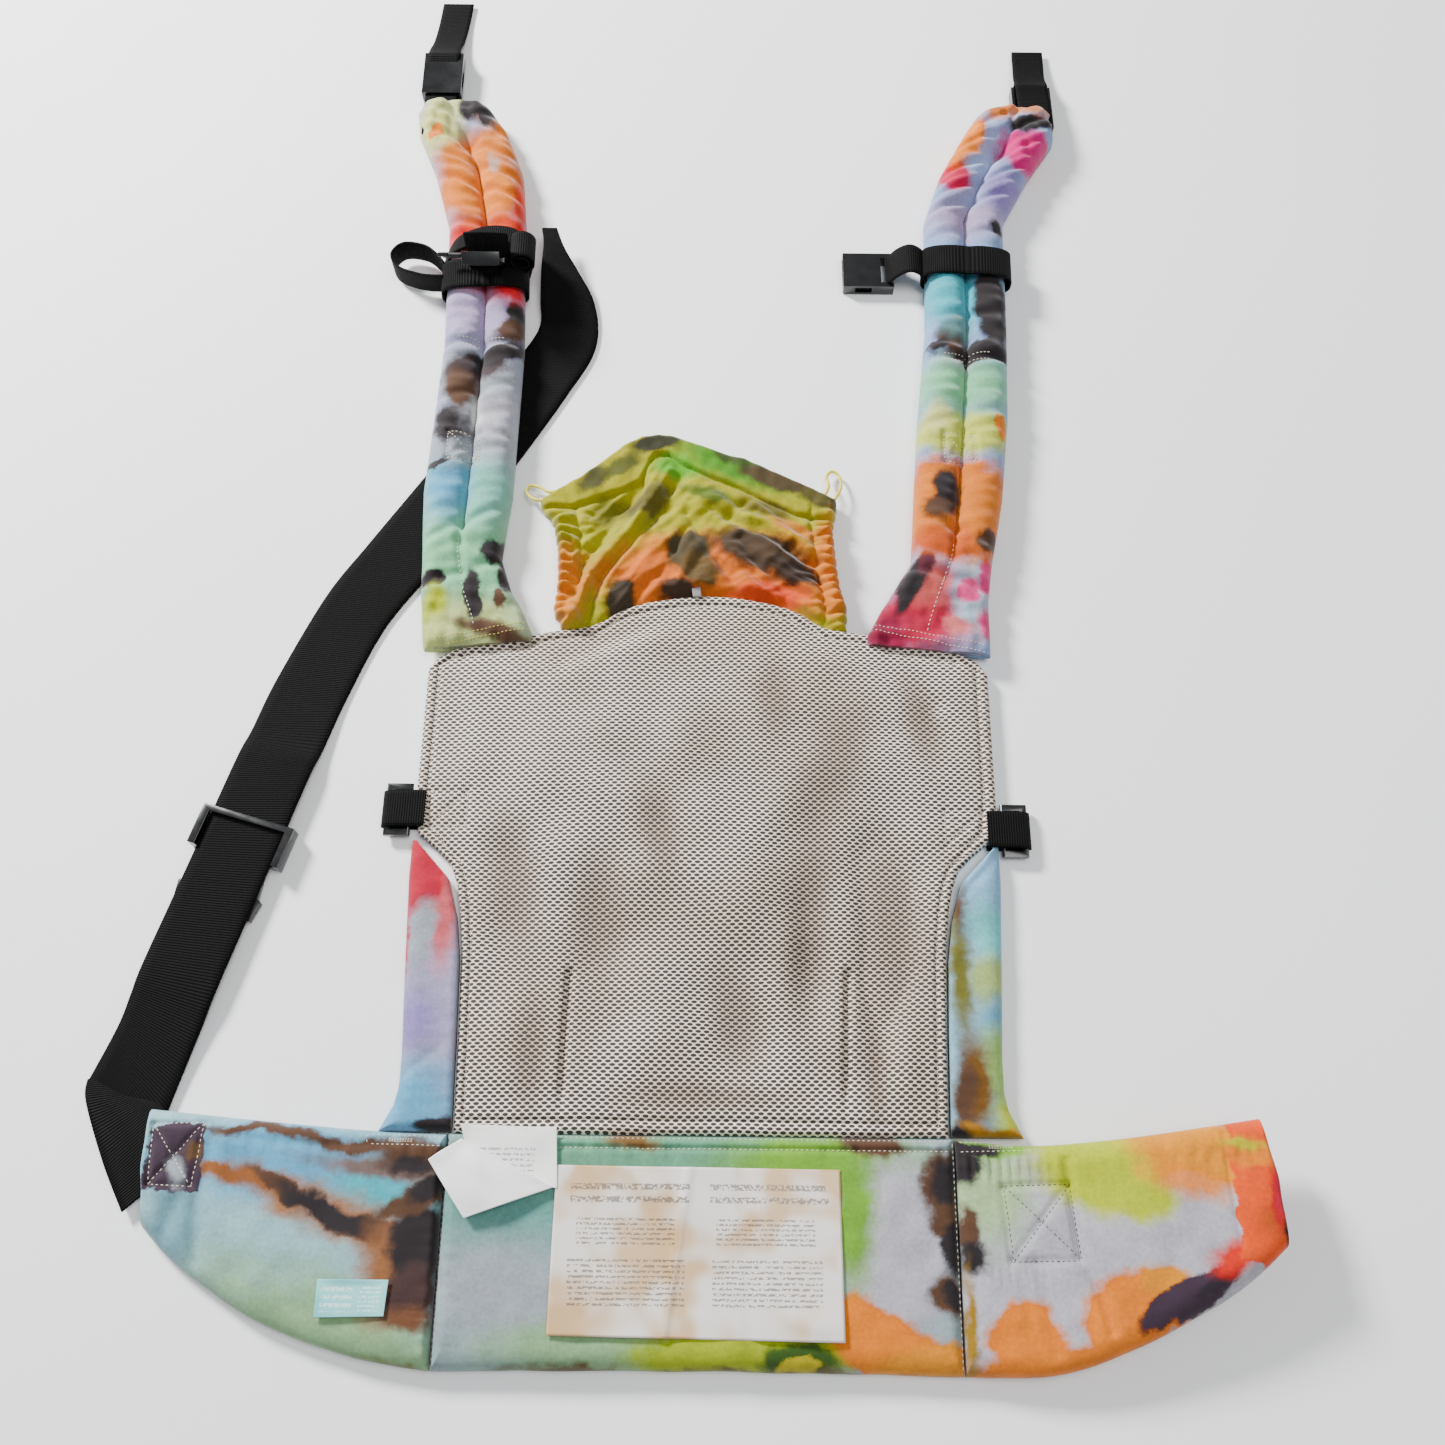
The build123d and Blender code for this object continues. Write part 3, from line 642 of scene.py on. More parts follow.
RIGHT_WING_DYE = [
    (164, 34, 24, 30, 0, srgb(170, 192, 150), 0.8), (180, 62, 40, 8, 0, LEAF, 0.7),
    (228, 48, 42, 26, -10, LIME, 0.55), (250, 34, 20, 14, -20, LIME, 0.6),
    (285, 55, 36, 20, -10, AMBER, 0.6), (280, 38, 20, 8, -15, PEACH, 0.8),
    (182, -44, 20, 17, 0, ORANGE, 0.4), (224, -34, 12, 14, 30, ORANGE, 0.6),
    (240, -24, 24, 16, 20, ORANGE, 0.5), (258, -12, 12, 9, 0, AMBER, 0.6),
    (195, -60, 60, 8, 8, ORANGE, 0.7), (240, -42, 34, 10, 22, ORANGE, 0.6),
    (272, -21, 34, 10, 30, PLUM, 0.25), (284, -16, 10, 4, 30, srgb(38, 27, 38), 0.6),
    (297, -1, 14, 9, 20, CORAL, 0.8), (318, 38, 16, 44, -4, srgb(236, 84, 28), 0.1, 1),
    (316, 56, 15, 9, 0, ORANGE, 0.5), (312, 60, 12, 3, 0, YELLOW, 0.7),
    (322, 16, 10, 8, 0, srgb(198, 80, 34), 0.8), (326, 30, 5, 16, 0, CRIMSON, 0.8),
    (333, 46, 5, 28, -3, PEACH, 0.5), (333, 14, 5, 7, 0, SOOT, 0.6),
    (151, 50, 9, 12, 0, SOOT, 0.5), (158, 60, 16, 4, 0, SOOT, 0.6),
    (152, 12, 6, 14, 0, BARK, 0.6), (155, -4, 8, 8, 20, SOOT, 0.6),
    (152, -40, 4, 26, 0, srgb(150, 120, 60), 0.8)]

DYE = {
    "waist": dyed_cloth("dyed twill waist", srgb(150, 166, 170), WAIST_DYE),
    "left wing": dyed_cloth("dyed twill left wing", MIST, LEFT_WING_DYE),
    "right wing": dyed_cloth("dyed twill right wing", PEARL, RIGHT_WING_DYE)}


def band_surface(x, y):
    """Soft unevenness of a padded waistband section, with puckers beside its seams."""
    beside = math.exp(-abs(abs(x) - SEAM_X) / 7)
    above = math.exp(-abs(y - 56) / 7)
    height = ripple(x, y, 46, 2.0, 3) + ripple(x, y, 15, 0.7, 8)
    height += beside * ripple(x * 0.25, y, 4.5, 1.8, 5) + above * ripple(x, y * 0.25, 5, 1.4, 6)
    return height


def pad_form(place, size, rims, surface, seam=SEAM_Z, top=PAD_TOP):
    """Form of a stuffed section: place(u, w) is its outline, size its width and a function of u
    for its height, rims the reach of its four rounded edges (left, right, low, high)."""
    def form(u, w, level):
        u, w = bunched(u), bunched(w)
        x, y = place(u, w)
        tall = size[1](u)
        gaps = ((u * size[0], rims[0]), ((1 - u) * size[0], rims[1]),
                (w * tall, rims[2]), ((1 - w) * tall, rims[3]))
        round_off = 1.0
        for gap, reach in gaps:
            round_off = min(round_off, dome(gap, reach))
        if level > 0.5:
            return x, y, seam + (top - seam) * round_off + surface(x, y) * round_off ** 2
        return x, y, seam - seam * round_off
    return form


def make_waistband():
    def place(u, w):
        x = mix(-SEAM_X + 0.3, SEAM_X - 0.3, u)
        low = -BAND_HALF + 1.4 * math.sin(math.pi * u) + ripple(x, 0, 30, 0.6)
        return x, mix(low, BAND_HALF - 0.3, w)

    def surface(x, y):
        height = band_surface(x, y)
        height += crease(x, y, [(-150, 56), (150, 56)], 1.6, 1.5)
        return height + crease(x, y, [(-150, 62), (150, 62)], 1.2, 1.2)
    bm = quilt(190, 90)
    form = pad_form(place, (2 * SEAM_X, lambda u: 2 * BAND_HALF), (8, 8, 13, 5), surface)
    pad = put("waistband_pad", shaped(bm, form), DYE["waist"], "waistband")
    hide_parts("waistband_outer_fabric", "waistband_lining", "waistband_foam")
    rows = [[(-146, 56), (146, 56)], [(-146, 61.8), (146, 61.8)]]
    sew("waistband_top_stitches", pad, rows, CREAM_THREAD, "waistband", 3.0, 2.1, 0.6)
    seams = [[(-147.6, -61), (-147.6, 60)]]
    sew("left_seam_stitches", pad, seams, DARK_THREAD, "waistband", 3.4, 2.5, 1.0)
    seams = [[(147.4, -61), (147.4, 60)]]
    sew("right_seam_stitches", pad, seams, CREAM_THREAD, "waistband", 3.4, 2.4, 0.9)


RIGHT_BOX = [(175, 37), (212, 38), (216, -3), (178, -4)]
LEFT_BOX = [(-321, 67), (-291, 68), (-294, 32), (-319, 33)]


def make_wing(side):
    name = SIDES[side]
    box = LEFT_BOX if side < 0 else RIGHT_BOX

    def place(u, w):
        low = spline([p + (0,) for p in WING_FOOT[side]], u)
        high = spline([p + (0,) for p in WING_HEAD[side]], u)
        x, y, _ = low.lerp(high, w)
        x += 3.5 * math.sin(math.pi * w) * ease(0.8, 1, u) + ripple(y, 0, 20, 1.2) * u
        return side * x, y + ripple(x, 0, 24, 0.7) * (1 - w)

    def surface(x, y):
        height = band_surface(x, y)
        for line in box_stitch(box):
            height += crease(x, y, line, 1.7, 1.5)
        if side > 0:
            height += crease(x, y, [(213, 52), (214, 38), (217, 0), (226, -20), (231, -40)],
                             2.2, 3.2)
            height += crease(x, y, [(192, -6), (198, -30), (200, -50)], 5, 1.6)
            height += crease(x, y, [(185, -8), (186, -38)], 3.5, 1.0)
            height += crease(x, y, [(302, 66), (305, 6)], 1.3, 1.4)
            height += swell(x, y, 178, 48, 26, 8, 1.6) * math.sin(x * 1.1)
            height += swell(x, y, 190, -10, 24, 8, 0.8) * math.sin(x * 1.3)
            height += swell(x, y, 240, 20, 26, 40, 1.2)
        else:
            height += crease(x, y, [(-284, 68), (-290, 20), (-286, -8)], 4.5, 2.2)
            height += crease(x, y, [(-300, 26), (-306, 6)], 5, 1.8)
            height += crease(x, y, [(-270, 60), (-220, 56), (-180, 58)], 3.5, 1.5)
            height += crease(x, y, [(-205, 60), (-165, 44)], 4.5, 1.2)
            height += swell(x, y, -158, -26, 12, 14, 0.7) * math.sin(y * 1.6)
        return height

    length = 180.0
    form = pad_form(place, (length, lambda u: mix(127.7, 60, u)), (8, 7, 13, 11), surface)

    def lifted(u, w, level):
        point = form(u, w, level)
        return tilted(point, WING_TURN) if side > 0 else point
    body = name + "_wing"
    pad = put(name + "_wing_pad", shaped(quilt(130, 90), lifted), DYE[name + " wing"], body)
    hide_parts(*(name + "_wing_" + part for part in ("outer_fabric", "lining", "foam")))
    if side > 0:
        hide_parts("right_wing_end_flap")
    dark = side > 0
    sew(name + "_wing_box_stitches", pad, box_stitch(box), DARK_THREAD if dark else CREAM_THREAD,
        body, 3.0, 2.2, 0.7)
    rows = [[(side * 151, 56), (side * 192, 57)], [(side * 151, 61.5), (side * 195, 62.5)],
            [(side * 195, 57), (side * 195.5, 62.5)]]
    sew(name + "_wing_top_stitches", pad, rows, CREAM_THREAD, body, 3.0, 2.1, 0.6)
    tack = [[(side * x, y), (side * (x + 14), y + 0.4)] for x, y in
            ((168, 58.2), (168, 59.0), (168, 59.8))]
    sew(name + "_wing_bar_tack", pad, tack, CREAM_THREAD, body, 1.6, 1.5, 0.5)


make_waistband()
for side in SIDES:
    make_wing(side)


# ---- body panel --------------------------------------------------------------------------
PANEL_SIDE = [(64.3, 146), (124, 148), (169, 150), (194, 153), (208, 156), (220, 160.5),
              (235, 174), (246, 183), (260, 186), (273, 187), (366, 187)]
HEAD = [(0, 421), (20, 419.5), (40, 416), (52, 412.5), (63, 407.5), (71, 401.5), (80, 397),
        (92, 394.8), (106, 393), (135, 386), (170, 379), (180, 373), (187, 364)]
LEG_OUTER = [(64.3, 191), (80, 183), (90, 181), (110, 181), (144, 183), (220, 187), (244, 187)]
LEG_INNER = [(64.3, 149), (124, 150.8), (169, 152.6), (194, 156), (219, 163), (232, 175),
             (243, 185)]
LINING_TOP, LINING_SEAM, BORDER = 9.2, 5.2, 7.5
HALF_WIDTH, HEIGHT = 180, 340


def side_patch(sign, middle):
    """Corners of the stitched square where a side adjuster is sewn on."""
    return [(sign * 153, middle + 12), (sign * 177, middle + 12), (sign * 177, middle - 12),
            (sign * 153, middle - 12)]


def strap_anchor(sign):
    """Outline of the stitching where a shoulder strap is sewn on."""
    return [(sign * 165, 370), (sign * 120, 379), (sign * 120, 389), (sign * 163, 382),
            (sign * 165, 370)]


ADJUSTERS = {-1: 265, 1: 255}


def panel_place(u, w):
    """Outline of the body panel: u from -1 to 1 across, w from 0 at the waist to 1 at the top."""
    straight = mix(PANEL_FOOT, PANEL_HEAD, w)
    x = u * value_on(PANEL_SIDE, straight)
    return x, mix(PANEL_FOOT, value_on(HEAD, abs(x)), w)


def panel_surface(x, y):
    """Bulges and folds of the lining over its padding."""
    height = swell(x, y, 0, 330, 120, 70, 5.0) + swell(x, y, -20, 240, 90, 50, 3.0)
    height += swell(x, y, 30, 205, 34, 40, 4.5) + swell(x, y, -80, 300, 46, 60, 2.5)
    height -= swell(x, y, 118, 190, 26, 55, 4.5) + swell(x, y, 66, 190, 18, 60, 3.5)
    height -= swell(x, y, -66, 190, 20, 40, 3.5) + swell(x, y, 20, 130, 20, 34, 2.5)
    height -= swell(x, y, -120, 210, 22, 60, 2.2)
    height += swell(x, y, 84, 140, 16, 40, 2.0) + swell(x, y, -112, 120, 24, 46, 2.0)
    height += swell(x, y, 128, 110, 14, 40, 2.0) + swell(x, y, -30, 110, 30, 40, 1.6)
    height += ripple(x, y, 34, 1.6, 2)
    height = height * 1.5 + swell(x, y, 52, 160, 12, 60, 3.0) - swell(x, y, 108, 150, 10, 50, 4.0)
    height += swell(x, y, 100, 236, 20, 26, -4.0) + swell(x, y, -60, 380, 30, 12, 2.0)
    height += crease(x, y, [(-83, 64), (-83, 120), (-82, 160)], 2.2, 4.0)
    height += crease(x, y, [(86, 64), (87, 120), (89, 162)], 2.2, 4.0)
    height += crease(x, y, [(-96, 370), (-40, 398)], 8, 2.5)
    height += crease(x, y, [(60, 396), (110, 376), (150, 340)], 7, 3.0)
    return max(-4.5, height)


def make_panel():
    def form(u, w, level):
        across, along = 2 * bunched(u) - 1, bunched(w)
        x, y = panel_place(across, along)
        inner = min((1 - abs(across)) * HALF_WIDTH, (1 - along) * HEIGHT, along * HEIGHT)
        edge = dome(inner, 4.0)
        if level < 0.5:
            return x, y, LINING_SEAM - 3.8 * edge
        border = inner - BORDER
        height = LINING_TOP - 1.6 * math.exp(-(border / 1.6) ** 2)
        height += panel_surface(x, y) * ease(6, 34, inner)
        height += ripple(x, y, 7, 0.35, 4) * ease(16, 4, inner)
        for sign, middle in ADJUSTERS.items():
            for line in box_stitch(side_patch(sign, middle)):
                height += crease(x, y, line, 1.6, 1.0)
            height += crease(x, y, strap_anchor(sign), 1.5, 1.1)
        return x, y, mix(LINING_SEAM, height, edge)
    lining = put("panel_lining", shaped(quilt(230, 220), form), MESH, "body_panel")
    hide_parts("panel_mesh_lining", "panel_padding")
    border = [[panel_place((i / 40 - 1) * 0.957, 1 - 0.023) for i in range(81)]]
    for sign in SIDES:
        border.append([panel_place(sign * (1 - BORDER / HALF_WIDTH), i / 60)
                       for i in range(1, 59)])
    for sign, middle in ADJUSTERS.items():
        border += box_stitch(side_patch(sign, middle)) + [strap_anchor(sign)]
    sew("panel_border_stitches", lining, border, thread("grey thread", srgb(206, 194, 180)),
        "body_panel", 2.6, 1.9, 0.5)
    tab = mapped(sheet_of(6, 10), 0.006, 0.012)

    def tab_form(u, w, _):
        return -11 + 6 * u - 2 * w, 418 + 12 * w, 10.5 + 1.5 * math.sin(w * 2.4)
    tag = thick(put("hanging_tab_tape", shaped(tab, tab_form), TAPE, "body_panel"), 0.9)
    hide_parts("hanging_tab")


TAPE = thread("grey tape", srgb(150, 144, 142))

LEFT_LEG_DYE = [
    (-176, 225, 18, 34, 0, CRIMSON, 0.6), (-160, 196, 8, 30, 0, srgb(206, 118, 122), 0.8),
    (-188, 175, 6, 26, 0, CRIMSON, 0.6), (-174, 185, 8, 20, 0, STONE, 0.7),
    (-172, 130, 16, 18, 0, VIOLET, 0.9), (-172, 82, 30, 22, 0, SKY, 0.9),
    (-154, 67, 14, 5, 0, SOOT, 0.6)]
RIGHT_LEG_DYE = [
    (180, 222, 16, 26, 0, srgb(152, 188, 216), 0.8),
    (178, 186, 14, 18, 0, srgb(132, 200, 200), 0.8),
    (174, 158, 14, 14, 0, srgb(172, 190, 128), 0.8), (177, 130, 9, 16, 0, SKY, 0.9),
    (178, 104, 14, 26, 0, srgb(164, 196, 126), 0.8), (186, 76, 14, 14, 0, LIME, 0.8),
    (159, 204, 6, 22, 0, BARK, 0.8), (156, 160, 6, 34, 0, OLIVE, 0.8),
    (160, 96, 11, 28, 0, srgb(110, 78, 42), 0.7), (155, 88, 6, 22, 0, BARK, 0.7),
    (172, 68, 20, 5, 0, srgb(186, 130, 48), 0.8), (152, 67, 8, 4, 0, SOOT, 0.7)]
PANEL_BACK_DYE = [
    (-90, 330, 90, 60, 20, SKY, 0.8), (60, 300, 80, 50, -20, MINT, 0.8),
    (-40, 180, 90, 40, 10, LILAC, 0.8), (100, 150, 60, 50, 0, LIME, 0.7),
    (-120, 110, 50, 40, 0, TEAL, 0.8), (20, 240, 26, 60, 35, BARK, 0.6),
    (60, 120, 40, 26, 0, ORANGE, 0.7), (-20, 390, 60, 20, 0, AMBER, 0.8),
    (-150, 300, 20, 40, 0, CRIMSON, 0.7)]


def make_panel_back():
    def form(u, w, level):
        across, along = 2 * u - 1, w
        x, y = panel_place(across, along)
        drop = dome(min((1 - abs(across)) * HALF_WIDTH, (1 - along) * HEIGHT), 3)
        return x, y, 4.4 if level > 0.5 else 2.2 - 2.2 * drop
    finish = dyed_cloth("dyed twill panel back", MIST, PANEL_BACK_DYE)
    back = put("panel_back_cloth", shaped(quilt(60, 60), form), finish, "body_panel")
    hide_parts("panel_outer_canvas")


def make_leg_pads():
    for side, name, blots, base in (
            (-1, "left", LEFT_LEG_DYE, srgb(166, 162, 186)),
            (1, "right", RIGHT_LEG_DYE, srgb(150, 184, 198))):
        def form(u, w, level, side=side):
            u, w = bunched(u), bunched(w)
            y = mix(64.6, 244, w)
            x = mix(value_on(LEG_INNER, y) - 1.5, value_on(LEG_OUTER, y), u)
            wide = value_on(LEG_OUTER, y) - value_on(LEG_INNER, y)
            edge = min(dome(u * wide + 2.5, 6), dome((1 - u) * wide, 11), dome((y - 64.3), 7),
                       dome(245 - y, 14))
            if level < 0.5:
                return side * x, y, 4.0 - 4.0 * edge
            height = 12.4 * edge + 4.0 * (1 - edge)
            height += (ripple(x, y, 22, 1.0, 7) + ripple(x * 0.4, y, 6, 0.5, 9)) * edge
            height += crease(x, y, [(158, 112), (180, 96)], 3, 0.8)
            height += crease(x, y, [(160, 208), (184, 236)], 3, 0.8)
            return side * x, y, height
        finish = dyed_cloth("dyed twill " + name + " leg", base, blots)
        pad = put(name + "_leg_pad", shaped(quilt(40, 130), form), finish, "body_panel")
        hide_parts(name + "_leg_pad_cover", name + "_leg_pad_foam")


make_panel()
make_panel_back()
make_leg_pads()


# ---- shoulder straps ---------------------------------------------------------------------
LEFT_OUTER = [(366, -189), (417, -196), (496, -200), (620, -194.5), (730, -198.5), (784, -213),
              (825, -229), (846, -232), (858, -224)]
LEFT_INNER = [(366, -119), (394, -119), (404, -124), (420, -134), (448, -143), (496, -138),
              (620, -136), (730, -140), (784, -145), (825, -159), (846, -172), (858, -197)]
RIGHT_OUTER = [(366, 189), (417, 191), (448, 196), (496, 206), (563, 215), (640, 220),
               (742, 224.5), (784, 246), (825, 271), (846, 272), (857, 264)]
RIGHT_INNER = [(366, 107), (394, 107), (417, 122), (448, 140), (496, 144), (560, 150),
               (640, 160), (742, 164.5), (784, 178), (825, 198), (846, 210), (857, 226)]

LEFT_STRAP_DYE = [
    (-165, 440, 50, 55, 0, MINT, 0.8), (-160, 392, 40, 22, 0, srgb(176, 186, 130), 0.8),
    (-192, 388, 14, 26, 0, srgb(190, 200, 132), 0.8), (-146, 388, 30, 6, -12, BARK, 0.7),
    (-190, 425, 8, 6, 10, SOOT, 0.35), (-161, 414, 7, 20, 6, SOOT, 0.35),
    (-146, 448, 10, 12, -20, SOOT, 0.35), (-137, 430, 4, 13, 8, SOOT, 0.4),
    (-141, 412, 4, 10, 0, BARK, 0.5), (-188, 408, 6, 12, 0, LIME, 0.8),
    (-170, 496, 40, 30, 0, srgb(132, 188, 172), 0.8), (-186, 500, 16, 26, 0, SKY, 0.9),
    (-168, 533, 40, 17, 0, STONE, 0.8), (-193, 517, 8, 4, 30, SOOT, 0.5),
    (-184, 551, 17, 17, 10, SOOT, 0.4), (-158, 562, 18, 26, 0, PEARL, 0.8),
    (-170, 590, 30, 20, 0, STONE, 0.8), (-172, 596, 24, 12, 20, srgb(60, 46, 48), 0.5),
    (-156, 608, 24, 8, 38, SOOT, 0.4), (-180, 580, 12, 14, 20, BARK, 0.6),
    (-169, 558, 5, 14, 0, PALE, 0.8), (-172, 652, 34, 26, 0, LILAC, 0.8),
    (-145, 642, 9, 14, 10, SOOT, 0.45), (-150, 630, 10, 8, 30, BARK, 0.6),
    (-162, 680, 24, 12, 10, CORAL, 0.8), (-152, 664, 12, 10, 0, srgb(224, 92, 96), 0.8),
    (-165, 712, 40, 22, 0, RED, 0.8), (-178, 765, 36, 34, 0, ORANGE, 0.7),
    (-146, 752, 7, 22, 0, RED, 0.9), (-190, 800, 24, 18, 0, srgb(226, 124, 34), 0.7),
    (-172, 800, 6, 26, 8, srgb(180, 160, 150), 0.9), (-164, 812, 14, 18, 0, ORANGE, 0.8),
    (-172, 838, 18, 12, 0, srgb(190, 140, 100), 0.8), (-218, 826, 18, 24, 0, STRAW, 0.7),
    (-219, 818, 6, 5, 20, ORANGE, 0.5), (-208, 846, 16, 10, 0, srgb(200, 206, 150), 0.8),
    (-191, 846, 11, 18, -14, SOOT, 0.35), (-178, 836, 8, 12, 0, SOOT, 0.5)]
RIGHT_STRAP_DYE = [
    (140, 402, 40, 26, 0, srgb(188, 76, 92), 0.7), (118, 394, 14, 14, 0, srgb(140, 36, 64), 0.7),
    (150, 426, 20, 18, 0, srgb(198, 110, 108), 0.8),
    (182, 420, 14, 34, 0, srgb(172, 184, 200), 0.6),
    (188, 434, 6, 13, 0, PINK, 0.5), (177, 424, 6, 9, 0, PINK, 0.5),
    (186, 398, 8, 12, 0, PINK, 0.6), (168, 396, 8, 8, 0, srgb(210, 130, 130), 0.7),
    (137, 426, 9, 22, -28, SOOT, 0.4), (146, 440, 6, 8, 0, srgb(84, 40, 50), 0.6),
    (172, 486, 48, 40, 0, srgb(222, 122, 40), 0.5), (160, 458, 24, 12, 0, srgb(206, 104, 70), 0.8),
    (164, 496, 10, 20, -16, SOOT, 0.5), (156, 484, 10, 9, 0, BARK, 0.6),
    (190, 461, 10, 7, 20, BARK, 0.5), (180, 548, 44, 18, 0, srgb(196, 202, 110), 0.6),
    (208, 554, 5, 11, 14, ORANGE, 0.4), (180, 588, 44, 22, 0, MINT, 0.8),
    (160, 560, 10, 12, 0, STRAW, 0.8), (178, 610, 18, 8, 0, srgb(170, 190, 180), 0.8),
    (199, 616, 27, 10, -2, SOOT, 0.35), (174, 628, 13, 12, 0, BARK, 0.6),
    (164, 622, 10, 5, 20, SOOT, 0.5), (178, 668, 26, 30, 0, SEA, 0.7),
    (221, 668, 5, 30, 0, SEA, 0.8), (206, 656, 12, 38, 2, SOOT, 0.35),
    (180, 640, 10, 12, 0, srgb(110, 150, 150), 0.8), (192, 740, 34, 20, 0, LILAC, 0.8),
    (214, 728, 6, 7, 0, SOOT, 0.6), (184, 780, 12, 16, 10, srgb(206, 58, 88), 0.6),
    (195, 814, 12, 24, -24, ORANGE, 0.6), (209, 794, 9, 36, -14, srgb(176, 188, 220), 0.7),
    (222, 766, 20, 20, 0, VIOLET, 0.8), (243, 806, 24, 18, -20, srgb(214, 72, 130), 0.5),
    (250, 832, 18, 8, 8, SOOT, 0.35), (244, 850, 28, 9, 0, srgb(226, 156, 124), 0.7),
    (222, 842, 12, 10, 0, srgb(220, 140, 100), 0.7)]


STRAP_TOP, BAND_TOP = 24.5, 25.4


def make_strap(side):
    name = SIDES[side]
    outer, inner = (LEFT_OUTER, LEFT_INNER) if side < 0 else (RIGHT_OUTER, RIGHT_INNER)
    low_y, high_y = 368.0, 858.5 if side < 0 else 857.0
    split_at, join_at = (454, 812) if side < 0 else (450, 808)
    tacks = (617, 622) if side < 0 else (609, 614)
    box_x, box_y = (-173, 531) if side < 0 else (177, 534)
    patch = box_stitch([(box_x - 11, box_y - 11), (box_x + 11, box_y - 11),
                        (box_x + 11, box_y + 11), (box_x - 11, box_y + 11)])

    def form(u, w, level):
        along = mix(low_y, high_y, w)
        a, b = value_on(outer, along), value_on(inner, along)
        across = mix(u, 0.5 - 0.5 * math.cos(math.pi * u), 0.55)
        outwards = across if side > 0 else 1 - across
        x = mix(b, a, outwards)
        foot = mix(384.2, 376.4, outwards)
        y = mix(foot, along, ease(0, 0.09, w)) if w < 0.09 else along
        width = abs(a - b)
        gap = min(across, 1 - across) * width
        rise = ease(394, 466, y)
        end = dome(high_y - along, 13)
        middle = width / 2
        valley = abs(gap - middle)
        deep = ease(split_at, split_at + 22, y) * ease(join_at + 8, join_at - 12, y)
        lobe = math.sqrt(max(0.0, 1 - ((gap - middle / 2) / (middle / 2 + 0.2)) ** 2))
        flat = dome(gap, mix(7, 15, rise))
        tube = mix(flat, mix(lobe ** 0.8, flat, 0.12), deep)
        tube -= (1 - deep) * rise * 0.22 * math.exp(-(valley / 3.0) ** 2)
        wrap = ease(join_at - 16, join_at + 4, y)
        tube -= swell(x, y, 0.5 * (a + b), join_at + 2, 9, 10, 0.75)
        foot_z = mix(5.2, 3.4, ease(384, 440, y))
        full = mix(8.0, 16.0, rise)
        height = foot_z + 3.0 + full * tube * end * mix(0.25, 1, ease(-7, 7, y - foot))
        wrinkle = ripple(x * 0.35, y, 7.5, 1.9, 3 + side) + ripple(x, y, 24, 2.0, 5 + side)
        wrinkle += ripple(x * 1.6, y, 11, 1.7, 15 + side) * (1 - rise)
        wrinkle += wrap * ripple(x, y * 0.7, 9, 3.2, 31 + side)
        for bend, slope, size in BENDS[side]:
            line = y - bend - slope * (x - (a + b) / 2)
            height -= size * math.exp(-(line / 3.2) ** 2) * tube
            height += 0.7 * size * math.exp(-((abs(line) - 7) / 4) ** 2) * tube
        height += wrinkle * flat * end
        for line in patch:
            height += crease(x, y, line, 2.0, 1.6)
        height = min(STRAP_TOP, height)
        if level < 0.5:
            bottom = mix(4.6, 0.4, ease(384, 440, y))
            return x, y, bottom + (height - bottom) * 0.5 * (1 - dome(gap, 7) * end)
        return x, y, max(height, 3.0)
    body = name + "_strap"
    blots = LEFT_STRAP_DYE if side < 0 else RIGHT_STRAP_DYE
    base = srgb(160, 162, 184) if side < 0 else srgb(150, 170, 204)
    finish = dyed_cloth("dyed twill " + name + " strap", base, blots)
    strap = put(body + "_pad", shaped(quilt(48, 330), form), finish, body)
    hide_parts(body + "_cover", body + "_foam")

    def middle_at(y):
        return (value_on(outer, y) + value_on(inner, y)) / 2
    row = [(middle_at(y) - 1.4, y) for y in range(392, 462, 6)]
    sew(body + "_top_stitches", strap, [row], CREAM_THREAD, body, 3.4, 2.3, 0.7)
    row = [(middle_at(y), y) for y in range(468, 810, 8)]
    sew(body + "_valley_seam", strap, [row], DARK_THREAD, body, 2.4, 2.8, 0.9)
    sew(body + "_box_stitches", strap, patch, CREAM_THREAD, body, 2.8, 2.1, 0.7)
    mid = middle_at(tacks[0])
    bars = [[(mid - 17, t), (mid + 17, t)] for t in tacks]
    sew(body + "_bar_tacks", strap, bars, CREAM_THREAD, body, 2.6, 2.0, 0.7)
    foot = [(side * 106, 398), (side * 120, 395), (side * 150, 389.5), (side * 184, 382)]
    under = [(px, py - 4.5) for px, py in foot]
    sew(body + "_foot_stitches", strap, [foot, under],
        YELLOW_THREAD if side < 0 else CREAM_THREAD, body, 2.8, 2.0, 0.6)


BENDS = {-1: [(619, 0.02, 2.6), (545, -0.25, 1.4), (578, 0.2, 1.6), (648, -0.1, 1.2),
              (700, 0.1, 1.8), (726, -0.12, 1.6), (764, -0.4, 3.0), (786, -0.5, 2.2),
              (808, -0.5, 2.0), (468, 0.5, 1.2), (432, 0.3, 1.6), (834, -0.5, 1.8)],
         1: [(611, -0.02, 2.6), (560, 0.2, 1.2), (585, -0.12, 1.4), (650, 0.1, 1.4),
             (724, 0.1, 1.6), (756, 0.35, 2.6), (776, 0.5, 2.2), (800, 0.55, 2.0),
             (468, -0.4, 1.4), (432, -0.3, 1.6), (826, 0.5, 2.2), (846, 0.6, 1.4)]}
for side in SIDES:
    make_strap(side)


